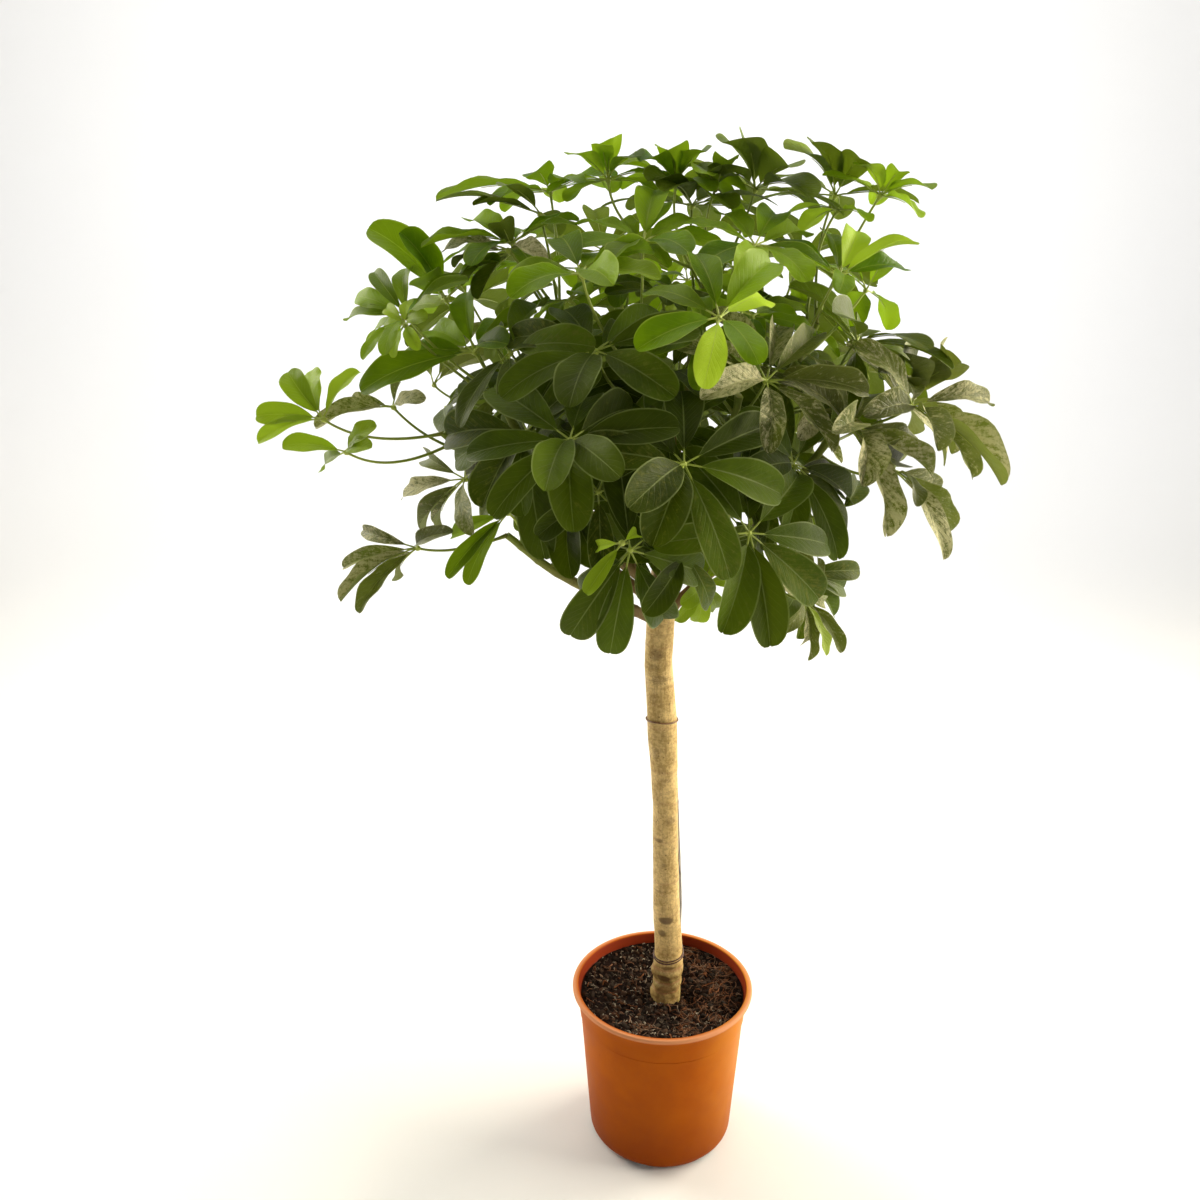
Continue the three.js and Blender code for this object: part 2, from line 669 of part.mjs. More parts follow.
/** Whether a place is seen inside the crown's outline: a line to its left then crosses it an odd time. */
function isSeenInCrown(place) {
  const [across, down] = sightingOf(place);
  const crossed = CROWN_OUTLINE.filter(([x1, y1], i) => {
    const [x2, y2] = CROWN_OUTLINE[(i + 1) % CROWN_OUTLINE.length];
    const spans = y1 > down !== y2 > down;
    return spans && x1 + ((down - y1) * (x2 - x1)) / (y2 - y1) < across;
  });
  return crossed.length % 2 === 1;
}

/** The place of a leaf's hub, sighted or given. */
function hubPlace(leaf) {
  if (leaf.place) {
    return new THREE.Vector3(...leaf.place);
  }
  const line = sightLine(leaf.hub);
  return EYE.clone().addScaledVector(line, (-leaf.reach - EYE.y) / line.y);
}

/** The way a whorl faces: out of the crown, and up. */
function whorlAxis(hub) {
  const out = hub.clone().sub(CROWN_CENTRE).normalize();
  return out.multiplyScalar(WHORL.outwardShare).addScaledVector(UP, WHORL.upwardShare).normalize();
}

/** The place of a sighted tip, a leaflet's length from its hub, on the side that suits the open whorl. */
function tipPlace(sighting, hub, axis, length) {
  const line = sightLine(sighting);
  const toHub = hub.clone().sub(EYE);
  const along = line.dot(toHub);
  const missSquared = toHub.lengthSq() - along * along;
  const half = Math.sqrt(Math.max(0, length * length - missSquared));
  const wanted = Math.cos(WHORL.openAngle);
  const choices = [along - half, along + half].map((s) => EYE.clone().addScaledVector(line, s));
  const misfit = (tip) => Math.abs(tip.clone().sub(hub).normalize().dot(axis) - wanted);
  return misfit(choices[0]) <= misfit(choices[1]) ? choices[0] : choices[1];
}

/** Two directions that make a right-angled frame with the axis. */
function crossDirections(axis) {
  const side = new THREE.Vector3().crossVectors(axis, UNFACED).normalize();
  return [side, new THREE.Vector3().crossVectors(axis, side)];
}

/** A tip at an angle round the whorl, for the leaflets that aren't sighted. */
function freeTip(hub, axis, angle, length) {
  const [side, other] = crossDirections(axis);
  const out = side.multiplyScalar(Math.cos(angle)).addScaledVector(other, Math.sin(angle));
  out.multiplyScalar(Math.sin(WHORL.openAngle)).addScaledVector(axis, Math.cos(WHORL.openAngle));
  return hub.clone().addScaledVector(out, length);
}

/** All tips of a whorl: the sighted ones, and others evenly in the gaps between them. */
function whorlTips(leaf, hub, axis, length) {
  const tips = (leaf.tips ?? []).map((sighting) => tipPlace(sighting, hub, axis, length));
  if (leaf.whole) {
    return tips;
  }
  const [side, other] = crossDirections(axis);
  const around = tips.map((tip) => {
    const out = tip.clone().sub(hub);
    return Math.atan2(out.dot(other), out.dot(side));
  });
  around.sort((a, b) => a - b);
  if (around.length === 0) {
    // the hub's own place gives a start angle that differs from whorl to whorl
    around.push(hub.x % Math.PI);
    tips.push(freeTip(hub, axis, around[0], length));
  }
  const first = around[0] + Math.PI * 2;
  around.forEach((angle, i) => {
    const gap = (around[i + 1] ?? first) - angle;
    const extra = gap > WHORL.widestGap ? Math.round((gap * WHORL.leaflets) / (Math.PI * 2)) - 1 : 0;
    for (let k = 1; k <= extra; k += 1) {
      const tip = freeTip(hub, axis, angle + (gap * k) / (extra + 1), length * WHORL.fillerShare);
      if (isSeenInCrown(tip)) {
        tips.push(tip);
      }
    }
  });
  return tips;
}

/** One leaflet: a thin blade from the hub to its tip, arched towards the side that the whorl faces. */
function leafletSolid(hub, tip, axis, grow = 0) {
  const span = tip.clone().sub(hub);
  const length = span.length();
  const along = span.clone().normalize();
  const lift = axis.clone().addScaledVector(along, -axis.dot(along)).normalize();
  const middle = hub.clone().addScaledVector(span, 0.5).addScaledVector(lift, length * LEAFLET.arch * 2);
  const curve = new THREE.QuadraticBezierCurve3(hub, middle, tip);
  const halfWidth = (length * LEAFLET.widthToLength) / 2;
  const rings = LEAFLET.sections.map(({ at, share }) => {
    const centre = curve.getPoint(at);
    const tangent = curve.getTangent(at);
    const side = new THREE.Vector3().crossVectors(tangent, lift).normalize();
    const over = new THREE.Vector3().crossVectors(side, tangent);
    const half = halfWidth * share + grow * 2;
    const top = centre.clone().addScaledVector(over, LEAFLET.crest + grow);
    return [
      top.clone().addScaledVector(side, half),
      top.clone().addScaledVector(side, -half),
      centre.clone().addScaledVector(over, -LEAFLET.keel - grow * 2),
    ];
  });
  const point = tip.clone().addScaledVector(curve.getTangent(1), grow * 2);
  return solidOf(skinOver(rings, hub, point));
}

/** Tilts a tip about its hub, towards the axis and round it, by two angles. */
function nudged(tip, hub, axis, [rise, swing]) {
  const span = tip.clone().sub(hub);
  const hinge = new THREE.Vector3().crossVectors(span, axis).normalize();
  return hub.clone().add(span.applyAxisAngle(hinge, rise).applyAxisAngle(axis, swing));
}

/** The curve of a petiole, which leaves its branch outwards and meets the hub from behind. */
function petioleCurve(start, hub, axis, [sideways, lift]) {
  const length = start.distanceTo(hub);
  const side = new THREE.Vector3().crossVectors(hub.clone().sub(start), UP).normalize();
  const before = hub.clone().addScaledVector(axis, -length * PETIOLE.approach);
  before.addScaledVector(UP, lift * length).addScaledVector(side, sideways * length);
  return new THREE.QuadraticBezierCurve3(start, before, hub);
}

/** The petiole and hub of a leaf, kept clear of what is placed. */
function petioleSolid(branch, leaf, hub, axis, placed) {
  const start = branch.curve.getPointAt(leaf.on);
  for (const bend of BENDS) {
    const curve = petioleCurve(start, hub, axis, bend);
    if (placed.isClear(stemSolid(curve, PETIOLE, GAP), branch.name)) {
      return stemSolid(curve, PETIOLE).subtract(branch.space);
    }
  }
  console.warn("no clear way for the petiole of " + leaf.name);
  return stemSolid(petioleCurve(start, hub, axis, BENDS[0]), PETIOLE).subtract(branch.space);
}

/** The small knot that the leaflets leave from. */
function hubSolid(hub) {
  const knot = new THREE.OctahedronGeometry(PETIOLE.hubRadius);
  knot.translate(hub.x, hub.y, hub.z);
  return solidOf(knot);
}

/** Adds a whorl's leaflets to its petiole, each tilted a little where that keeps it clear of the rest. */
function leafSolid(leaf, placed) {
  let { solid } = leaf;
  let count = 0;
  for (const tip of leaf.tipPlaces) {
    const clearTip = NUDGES.map((nudge) => nudged(tip, leaf.hubPlace, leaf.axis, nudge)).find((place) =>
      placed.isClear(leafletSolid(leaf.hubPlace, place, leaf.axis, GAP), leaf.name),
    );
    if (clearTip) {
      solid = solid.add(leafletSolid(leaf.hubPlace, clearTip, leaf.axis));
      count += 1;
    }
  }
  return { solid: mainBody(solid), count };
}

// ---- materials ----------------------------------------------------------------------------------

const FINISHES = {
  terracotta_plastic: { color: "#c8642a", roughness: 0.5 },
  peat: { color: "#2a1c14", roughness: 1 },
  bark: { color: "#b7a07a", roughness: 0.8 },
  cane: { color: "#8d8a80", roughness: 0.8 },
  wire: { color: "#6b3f2a", roughness: 0.5 },
  old: { color: "#35501c", roughness: 0.4 },
  dusty: { color: "#7c8457", roughness: 0.7 },
  young: { color: "#86a82c", roughness: 0.45 },
};

/** A mesh with a name and one of the finishes. */
function piece(name, geometry, finish) {
  const material = new THREE.MeshStandardMaterial({ ...FINISHES[finish], metalness: 0 });
  const mesh = new THREE.Mesh(geometry, material);
  mesh.name = name;
  return mesh;
}

// ---- assembly -----------------------------------------------------------------------------------

/** Lays out the branches, which grow out of the trunk top and are one piece with it. */
function growBranches(placed) {
  return Object.entries(BRANCHES).map(([name, { path, leaves }]) => {
    const curve = curveThrough(path);
    const solid = stemSolid(curve, BRANCH);
    const space = stemSolid(curve, BRANCH, GAP);
    placed.add(name, space);
    return { name, curve, leaves, solid, space };
  });
}

/** Places every leaf's petiole, then every leaf's leaflets. */
function growLeaves(branches, placed) {
  const leaves = branches.flatMap((branch) =>
    branch.leaves.map((spec, i) => {
      const name = `leaf_${branch.name}_${i + 1}`;
      const hub = hubPlace(spec);
      const axis = whorlAxis(hub);
      const length = spec.length ?? LEAFLET_LENGTH[spec.finish];
      const petiole = petioleSolid(branch, { ...spec, name }, hub, axis, placed).add(hubSolid(hub));
      placed.add(name, petiole);
      const tipPlaces = whorlTips(spec, hub, axis, length);
      return { name, finish: spec.finish, hubPlace: hub, axis, solid: petiole, tipPlaces };
    }),
  );
  for (const leaf of leaves) {
    const { solid, count } = leafSolid(leaf, placed);
    if (count < WHORL.fewestLeaflets) {
      console.warn(leaf.name + " kept only " + count + " leaflets");
    }
    leaf.solid = solid;
    placed.add(leaf.name, solid);
  }
  return leaves;
}

/** Builds the whole plant in its pot. */
function buildPlant() {
  const plant = new THREE.Group();
  const trunkSpace = trunkSolid(GAP);
  const placed = new Placed();
  const branches = growBranches(placed);
  placed.add("trunk", trunkSpace);
  const leaves = growLeaves(branches, placed);

  plant.add(piece("pot", potGeometry(), "terracotta_plastic"));
  plant.add(piece("soil", soilGeometry(trunkSpace, caneSolid(GAP)), "peat"));
  const wood = branches.reduce((joined, branch) => joined.add(branch.solid), trunkSolid());
  plant.add(piece("trunk", geometryOf(mainBody(wood)), "bark"));
  plant.add(piece("support_cane", geometryOf(caneSolid()), "cane"));
  plant.add(piece("lower_tie", tieGeometry(LOWER_TIE), "wire"));
  plant.add(piece("upper_tie", tieGeometry(UPPER_TIE), "wire"));
  for (const { name, solid, finish } of leaves) {
    plant.add(piece(name, geometryOf(solid), finish));
  }
  return plant;
}

export default buildPlant();
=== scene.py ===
"""The looks of a potted umbrella plant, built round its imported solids.

Metres, +Z up, +Y away from the viewer, origin in the middle of the pot's underside.
"""

import logging
import math
import random
from collections.abc import Callable, Iterable, Sequence
from dataclasses import dataclass, field, replace
from enum import Enum

import bpy
from mathutils import Matrix, Vector, noise


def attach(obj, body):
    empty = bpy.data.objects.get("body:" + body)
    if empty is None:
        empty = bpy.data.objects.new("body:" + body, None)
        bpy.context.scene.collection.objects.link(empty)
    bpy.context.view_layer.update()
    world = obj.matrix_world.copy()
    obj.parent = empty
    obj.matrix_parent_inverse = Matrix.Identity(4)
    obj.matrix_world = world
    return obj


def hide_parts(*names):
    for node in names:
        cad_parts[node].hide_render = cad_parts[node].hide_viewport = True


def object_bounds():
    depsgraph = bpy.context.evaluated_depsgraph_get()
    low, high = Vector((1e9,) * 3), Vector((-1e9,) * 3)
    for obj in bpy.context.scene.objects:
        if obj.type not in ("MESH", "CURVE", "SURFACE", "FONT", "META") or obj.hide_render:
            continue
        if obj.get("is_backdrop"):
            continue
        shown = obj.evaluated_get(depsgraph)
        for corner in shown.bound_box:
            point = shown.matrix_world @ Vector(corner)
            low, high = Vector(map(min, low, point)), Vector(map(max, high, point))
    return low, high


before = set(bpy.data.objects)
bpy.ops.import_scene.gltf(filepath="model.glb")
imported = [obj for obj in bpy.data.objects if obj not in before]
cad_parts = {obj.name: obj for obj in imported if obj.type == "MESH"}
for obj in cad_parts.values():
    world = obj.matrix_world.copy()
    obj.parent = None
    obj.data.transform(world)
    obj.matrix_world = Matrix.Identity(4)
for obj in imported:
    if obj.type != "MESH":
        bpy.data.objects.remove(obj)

log = logging.getLogger("umbrella_plant")

MM = 0.001
UP = Vector((0.0, 0.0, 1.0))
BODY = "root"

Colour = tuple[float, float, float, float]
Tone = tuple[float, float, float]
NO_TONE: Tone = (0.0, 0.0, 0.0)


# ---- small tools -----------------------------------------------------------------------------------


def clamp(value: float, low: float = 0.0, high: float = 1.0) -> float:
    """Keeps a value between two others."""
    return max(low, min(high, value))


def blend(low: float, high: float, share: float) -> float:
    """The value that lies a share of the way from low to high."""
    return low + (high - low) * share


def bell(distance: float, width: float) -> float:
    """A smooth bump that is 1 at no distance and fades over the width."""
    return math.exp(-((distance / width) ** 2))


def smooth_step(start: float, end: float, value: float) -> float:
    """Rises smoothly from 0 at the start to 1 at the end."""
    share = clamp((value - start) / (end - start))
    return share * share * (3.0 - 2.0 * share)


def rgb(red: float, green: float, blue: float) -> Colour:
    """A colour for a shader, from shares of linear light."""
    return (red, green, blue, 1.0)


def bezier(corners: Sequence[Vector], at: float) -> Vector:
    """The point of a Bezier curve, by halving its corners' lines.

    Args:
        corners: the curve's control points.
        at: how far along, from 0 to 1.

    Returns:
        The point on the curve.
    """
    points = list(corners)
    while len(points) > 1:
        points = [a.lerp(b, at) for a, b in zip(points, points[1:])]
    return points[0]


def through(path: Sequence[Vector], at: float) -> Vector:
    """The point of a smooth curve through places.

    Args:
        path: the places, in order.
        at: how far along, from 0 to 1.

    Returns:
        The point on the curve.
    """
    reach = clamp(at) * (len(path) - 1)
    step = min(int(reach), len(path) - 2)
    share = reach - step
    a, b = path[step], path[step + 1]
    before = path[step - 1] if step > 0 else a * 2 - b
    after = path[step + 2] if step + 2 < len(path) else b * 2 - a
    first = (b - before) * 0.5
    last = (after - a) * 0.5
    squared, cubed = share**2, share**3
    return (
        a * (2 * cubed - 3 * squared + 1)
        + first * (cubed - 2 * squared + share)
        + b * (3 * squared - 2 * cubed)
        + last * (cubed - squared)
    )


def cross_frame(tangent: Vector, lift: Vector) -> tuple[Vector, Vector]:
    """The sideways and upwards directions of something that runs along a tangent.

    Args:
        tangent: the way it runs.
        lift: roughly the way that it faces.

    Returns:
        Its side and its upper direction, both of length 1.
    """
    side = tangent.cross(lift).normalized()
    return side, side.cross(tangent).normalized()


def outwards(turn: float) -> Vector:
    """The level direction at an angle round the upright axis."""
    return Vector((math.cos(turn), math.sin(turn), 0.0))


def circle(radius: float, height: float, count: int) -> list[Vector]:
    """Places evenly round the upright axis at a height."""
    turns = [math.tau * k / count for k in range(count)]
    return [Vector((math.cos(t) * radius, math.sin(t) * radius, height)) for t in turns]


def quarter(steps: int) -> list[float]:
    """Angles from nothing to a right angle, in even steps."""
    return [math.pi / 2 * i / steps for i in range(steps + 1)]


class MeshMaker:
    """Gathers the vertices and faces of one piece."""

    def __init__(self) -> None:
        """Starts with nothing."""
        self.points: list[Vector] = []
        self.places: list[tuple[float, float]] = []
        self.tones: list[Tone] = []
        self.faces: list[tuple[int, ...]] = []
        self.slots: list[int] = []

    def point(self, place: Vector, tone: Tone = NO_TONE, uv: tuple[float, float] = (0.5, 0.5)) -> int:
        """Adds a vertex.

        Args:
            place: where it is.
            tone: three shares that the finish reads as it likes.
            uv: its place on a blade, across and along.

        Returns:
            Its index.
        """
        self.points.append(place)
        self.tones.append(tone)
        self.places.append(uv)
        return len(self.points) - 1

    def ring(self, places: Iterable[Vector], tone: Tone = NO_TONE) -> list[int]:
        """Adds a vertex at each place and gives their indices."""
        return [self.point(place, tone) for place in places]

    def face(self, *corners: int, slot: int = 0) -> None:
        """Adds a face over vertices, in a material slot."""
        self.faces.append(corners)
        self.slots.append(slot)

    def skin(self, rings: Sequence[Sequence[int]], slot: int = 0, closed: bool = True) -> None:
        """Joins rings of equal count by quads.

        Args:
            rings: vertex indices, ring by ring.
            slot: the material slot.
            closed: whether each ring runs back to its start.
        """
        count = len(rings[0])
        for low, high in zip(rings, rings[1:]):
            for i in range(count if closed else count - 1):
                j = (i + 1) % count
                self.face(low[i], low[j], high[j], high[i], slot=slot)

    def cap(self, ring: Sequence[int], place: Vector, tone: Tone, slot: int, first: bool) -> None:
        """Closes an end of a tube with a fan to one point.

        Args:
            ring: the vertices round the end.
            place: the fan's middle.
            tone: the tone of the middle.
            slot: the material slot.
            first: whether it is the end that the tube starts with.
        """
        tip = self.point(place, tone)
        count = len(ring)
        for i in range(count):
            a, b = ring[i], ring[(i + 1) % count]
            self.face(*((b, a, tip) if first else (a, b, tip)), slot=slot)

    def tube(
        self,
        centres: Sequence[Vector],
        radii: Sequence[float],
        sides: int,
        tones: Sequence[Tone],
        slot: int = 0,
    ) -> None:
        """Adds a round tube, closed at both ends.

        Args:
            centres: the places along its middle.
            radii: its radius at each of them.
            sides: vertices in a ring.
            tones: the tone at each of them.
            slot: the material slot.
        """
        side = (centres[1] - centres[0]).orthogonal().normalized()
        rings = []
        for i, centre in enumerate(centres):
            ahead = centres[min(i + 1, len(centres) - 1)]
            tangent = (ahead - centres[max(i - 1, 0)]).normalized()
            side = (side - tangent * side.dot(tangent)).normalized()
            other = tangent.cross(side)
            ring = []
            for k in range(sides):
                turn = math.tau * k / sides
                out = side * math.cos(turn) + other * math.sin(turn)
                ring.append(self.point(centre + out * radii[i], tones[i]))
            rings.append(ring)
        self.skin(rings, slot)
        self.cap(rings[0], centres[0], tones[0], slot, first=True)
        self.cap(rings[-1], centres[-1], tones[-1], slot, first=False)

    def build(
        self,
        name: str,
        finishes: Sequence[bpy.types.Material],
        sharp_angle: float = math.radians(50),
    ) -> bpy.types.Object:
        """Makes the piece in the scene, riding on the plant's one body.

        Args:
            name: the piece's name.
            finishes: a material for each slot.
            sharp_angle: edges that turn more than this stay crisp.

        Returns:
            The new object.
        """
        mesh = bpy.data.meshes.new(name)
        mesh.from_pydata([tuple(p) for p in self.points], [], self.faces)
        mesh.polygons.foreach_set("material_index", self.slots)
        mesh.polygons.foreach_set("use_smooth", [True] * len(self.faces))
        layer = mesh.uv_layers.new(name="blade")
        corners = [0] * len(mesh.loops)
        mesh.loops.foreach_get("vertex_index", corners)
        layer.data.foreach_set("uv", [share for i in corners for share in self.places[i]])
        tone = mesh.attributes.new("tone", "FLOAT_VECTOR", "POINT")
        tone.data.foreach_set("vector", [share for t in self.tones for share in t])
        mesh.set_sharp_from_angle(angle=sharp_angle)
        for finish in finishes:
            mesh.materials.append(finish)
        mesh.update()
        made = bpy.data.objects.new(name, mesh)
        bpy.context.scene.collection.objects.link(made)
        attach(made, BODY)
        return made


def report(piece: bpy.types.Object) -> None:
    """Says through the log that a piece is made."""
    log.info("%s: %d faces", piece.name, len(piece.data.polygons))


# ---- shader groups ---------------------------------------------------------------------------------

Socket = bpy.types.NodeSocket
Feed = Socket | float | Colour | tuple[float, float, float]
Feeds = dict[str | int, Feed]


class Graph:
    """Places and links the nodes of one material or group."""

    def __init__(self, tree: bpy.types.NodeTree) -> None:
        """Works on a node tree."""
        self.tree = tree

    def feed(self, socket: Socket, value: Feed) -> None:
        """Links a socket to another, or sets it to a value.

        Args:
            socket: the input socket to feed.
            value: what feeds it: a socket, a number or a colour.
        """
        if isinstance(value, bpy.types.NodeSocket):
            self.tree.links.new(value, socket)
        else:
            socket.default_value = value

    def add(self, kind: str, inputs: Feeds | None = None, **settings: object) -> bpy.types.Node:
        """Adds a node.

        Args:
            kind: Blender's name for the node's type.
            inputs: what each input is fed with.
            settings: the node's own options.

        Returns:
            The node.
        """
        node = self.tree.nodes.new(kind)
        for key, value in settings.items():
            setattr(node, key, value)
        for key, value in (inputs or {}).items():
            self.feed(node.inputs[key], value)
        return node

    def math(self, operation: str, *values: Feed, hold: bool = False) -> Socket:
        """The result of a sum on numbers, held between 0 and 1 if asked."""
        inputs = dict(enumerate(values))
        return self.add("ShaderNodeMath", inputs, operation=operation, use_clamp=hold).outputs[0]

    def times(self, value: Feed, factor: Feed) -> Socket:
        """The product of two numbers."""
        return self.math("MULTIPLY", value, factor)

    def sum_of(self, value: Feed, factor: Feed, rest: Feed, hold: bool = False) -> Socket:
        """The value times the factor, plus the rest, held between 0 and 1 if asked."""
        return self.math("MULTIPLY_ADD", value, factor, rest, hold=hold)

    def mix(self, share: Feed, low: Feed, high: Feed) -> Socket:
        """A colour between two others."""
        node = self.add("ShaderNodeMix", {0: share, 6: low, 7: high}, data_type="RGBA")
        return node.outputs[2]

    def tint(self, colour: Feed, mask: Feed, strength: float, over: Feed) -> Socket:
        """A colour with another laid over it where the mask is, as thickly as the strength says."""
        return self.mix(self.times(mask, strength), colour, over)

    def fade(self, value: Feed, start: Feed, end: Feed, low: float = 0.0, high: float = 1.0) -> Socket:
        """A number that goes smoothly from one to another as a value goes from start to end.

        Args:
            value: the value.
            start: where the number begins to change.
            end: where it stops changing. It may lie below the start.
            low: the number at the start.
            high: the number at the end.

        Returns:
            The number's socket.
        """
        inputs = {"Value": value, "From Min": start, "From Max": end, "To Min": low, "To Max": high}
        return self.add("ShaderNodeMapRange", inputs, interpolation_type="SMOOTHSTEP").outputs["Result"]

    def noise(self, vector: Feed, scale: Feed, detail: float = 3.0, rough: float = 0.55) -> Socket:
        """A cloudy number about one half.

        Args:
            vector: the place.
            scale: how many clouds there are in a metre.
            detail: how many finer layers lie over them.
            rough: how strong the finer layers are.

        Returns:
            The number's socket.
        """
        inputs = {"Vector": vector, "Scale": scale, "Detail": detail, "Roughness": rough}
        return self.add("ShaderNodeTexNoise", inputs).outputs[0]

    def split(self, vector: Feed) -> tuple[Socket, Socket, Socket]:
        """The three parts of a vector."""
        parts = self.add("ShaderNodeSeparateXYZ", {0: vector}).outputs
        return parts[0], parts[1], parts[2]


class Effects:
    """The shader groups that the finishes share, each built once."""

    def __init__(self) -> None:
        """Builds every group."""
        self.mottle = self._mottle()
        self.specks = self._specks()
        self.grain = self._grain()
        self.bands = self._bands()
        self.veins = self._veins()
        self.film = self._film()

    @staticmethod
    def place(graph: Graph, tree: bpy.types.NodeTree, inputs: Feeds) -> bpy.types.Node:
        """Puts a group into a material with its own values."""
        return graph.add("ShaderNodeGroup", inputs, node_tree=tree)

    @staticmethod
    def _start(
        name: str, takes: dict[str, float | Colour], gives: Sequence[str]
    ) -> tuple[Graph, dict[str, Socket], Callable[[str, Socket], None]]:
        """Starts a group, which always takes a vector.

        Args:
            name: the group's name.
            takes: the usual values of its numbers and colours, by name.
            gives: the names of its outputs, which are numbers but for one named Color.

        Returns:
            Its graph, its inputs by name, and a function that feeds a named output.
        """
        tree = bpy.data.node_groups.new(name, "ShaderNodeTree")
        tree.interface.new_socket("Vector", in_out="INPUT", socket_type="NodeSocketVector")
        for label, value in takes.items():
            kind = "Float" if isinstance(value, float) else "Color"
            socket = tree.interface.new_socket(label, in_out="INPUT", socket_type=f"NodeSocket{kind}")
            socket.default_value = value
        for label in gives:
            kind = "Color" if label == "Color" else "Float"
            tree.interface.new_socket(label, in_out="OUTPUT", socket_type=f"NodeSocket{kind}")
        graph = Graph(tree)
        entry, result = graph.add("NodeGroupInput"), graph.add("NodeGroupOutput")
        given = {label: entry.outputs[label] for label in ("Vector", *takes)}
        return graph, given, lambda label, value: graph.feed(result.inputs[label], value)

    def _mottle(self) -> bpy.types.NodeTree:
        """Cloudy colour between a dark and a light one.

        Returns:
            The effect's node group.
        """
        takes = {"Scale": 40.0, "Contrast": 0.2, "Dark": rgb(0.0, 0.0, 0.0), "Light": rgb(1.0, 1.0, 1.0)}
        graph, given, give = self._start("mottle", takes, ("Color", "Mask"))
        cloud = graph.noise(given["Vector"], given["Scale"], 4.0, 0.6)
        start = graph.math("SUBTRACT", 0.5, given["Contrast"])
        end = graph.math("ADD", 0.5, given["Contrast"])
        mask = graph.fade(cloud, start, end)
        give("Color", graph.mix(mask, given["Dark"], given["Light"]))
        give("Mask", mask)
        return graph.tree

    def _specks(self) -> bpy.types.NodeTree:
        """Scattered round spots: how big each is in its cell, and what share of the cells have one.

        Returns:
            The effect's node group.
        """
        graph, given, give = self._start("specks", {"Scale": 300.0, "Size": 0.25, "Share": 0.3}, ("Mask",))
        cells = graph.add("ShaderNodeTexVoronoi", {"Vector": given["Vector"], "Scale": given["Scale"]})
        rim = graph.times(given["Size"], 0.5)
        spot = graph.fade(cells.outputs["Distance"], given["Size"], rim)
        chance = graph.split(cells.outputs["Color"])[0]
        chosen = graph.math("LESS_THAN", chance, given["Share"])
        give("Mask", graph.times(spot, chosen))
        return graph.tree

    def _grain(self) -> bpy.types.NodeTree:
        """Fine unevenness for a bump, in two sizes.

        Returns:
            The effect's node group.
        """
        graph, given, give = self._start("grain", {"Scale": 400.0}, ("Height",))
        fine = graph.noise(given["Vector"], given["Scale"], 3.0)
        coarse = graph.noise(given["Vector"], graph.times(given["Scale"], 0.2), 2.0)
        give("Height", graph.sum_of(coarse, 1.5, fine))
        return graph.tree

    def _bands(self) -> bpy.types.NodeTree:
        """Wavering rings round an upright stem.

        Returns:
            The effect's node group.
        """
        graph, given, give = self._start("bands", {"Scale": 120.0, "Waver": 0.4}, ("Mask",))
        drift = graph.noise(given["Vector"], 35.0, 2.0)
        height = graph.split(given["Vector"])[2]
        turns = graph.sum_of(height, given["Scale"], graph.times(drift, given["Waver"]))
        row = graph.add("ShaderNodeCombineXYZ", {2: turns}).outputs[0]
        lines = graph.noise(row, 1.0, 4.0, 0.75)
        give("Mask", graph.fade(lines, 0.55, 0.65))
        return graph.tree

    def _veins(self) -> bpy.types.NodeTree:
        """The midrib, side veins, margin and streaks of a blade, from its place across and along.

        Returns:
            The effect's node group.
        """
        takes = {"Count": 11.0, "Slant": 0.28, "Seed": 0.0}
        graph, given, give = self._start("veins", takes, ("Midrib", "Veins", "Margin", "Streaks"))
        across, along, _ = graph.split(given["Vector"])
        out = graph.math("ABSOLUTE", graph.sum_of(across, 2.0, -1.0))
        width = graph.fade(along, 0.0, 1.0, 0.08, 0.03)
        give("Midrib", graph.fade(out, width, graph.times(width, 0.3)))
        bent = graph.times(graph.math("POWER", out, 0.8), given["Slant"])
        rows = graph.times(graph.math("SUBTRACT", along, bent), given["Count"])
        saw = graph.math("ABSOLUTE", graph.math("SUBTRACT", graph.math("FRACT", rows), 0.5))
        line = graph.fade(saw, 0.12, 0.0)
        fading = graph.fade(out, 0.95, 0.5)
        give("Veins", graph.times(line, fading))
        give("Margin", graph.fade(out, 0.90, 0.97))
        spread = graph.times(across, 2.6)
        flow = graph.add("ShaderNodeCombineXYZ", {0: rows, 1: spread, 2: given["Seed"]}).outputs[0]
        give("Streaks", graph.noise(flow, 1.3, 5.0, 0.7))
        return graph.tree

    def _film(self) -> bpy.types.NodeTree:
        """A dry film in patches with drops' rings and dots, thicker where there is more of it, which also
        places painted sheen.

        Returns:
            The effect's node group.
        """
        graph, given, give = self._start("film", {"Streaks": 0.5, "Amount": 0.5}, ("Mask",))
        cloud = graph.noise(given["Vector"], 240.0, 6.0, 0.8)
        cloud = graph.sum_of(given["Streaks"], 0.5, graph.times(cloud, 0.5))
        start = graph.sum_of(given["Amount"], -0.26, 0.66)
        patches = graph.fade(cloud, start, graph.math("ADD", start, 0.15))
        cells = graph.add("ShaderNodeTexVoronoi", {"Vector": given["Vector"], "Scale": 520.0})
        dots = graph.fade(cells.outputs["Distance"], 0.34, 0.16)
        chance = graph.split(cells.outputs["Color"])[1]
        chosen = graph.math("LESS_THAN", chance, graph.sum_of(given["Amount"], 1.2, -0.75))
        spots = graph.times(dots, chosen)
        both = graph.math("ADD", patches, graph.times(spots, 0.6), hold=True)
        give("Mask", graph.times(both, graph.fade(given["Amount"], 0.0, 0.3)))
        return graph.tree


# ---- finishes --------------------------------------------------------------------------------------


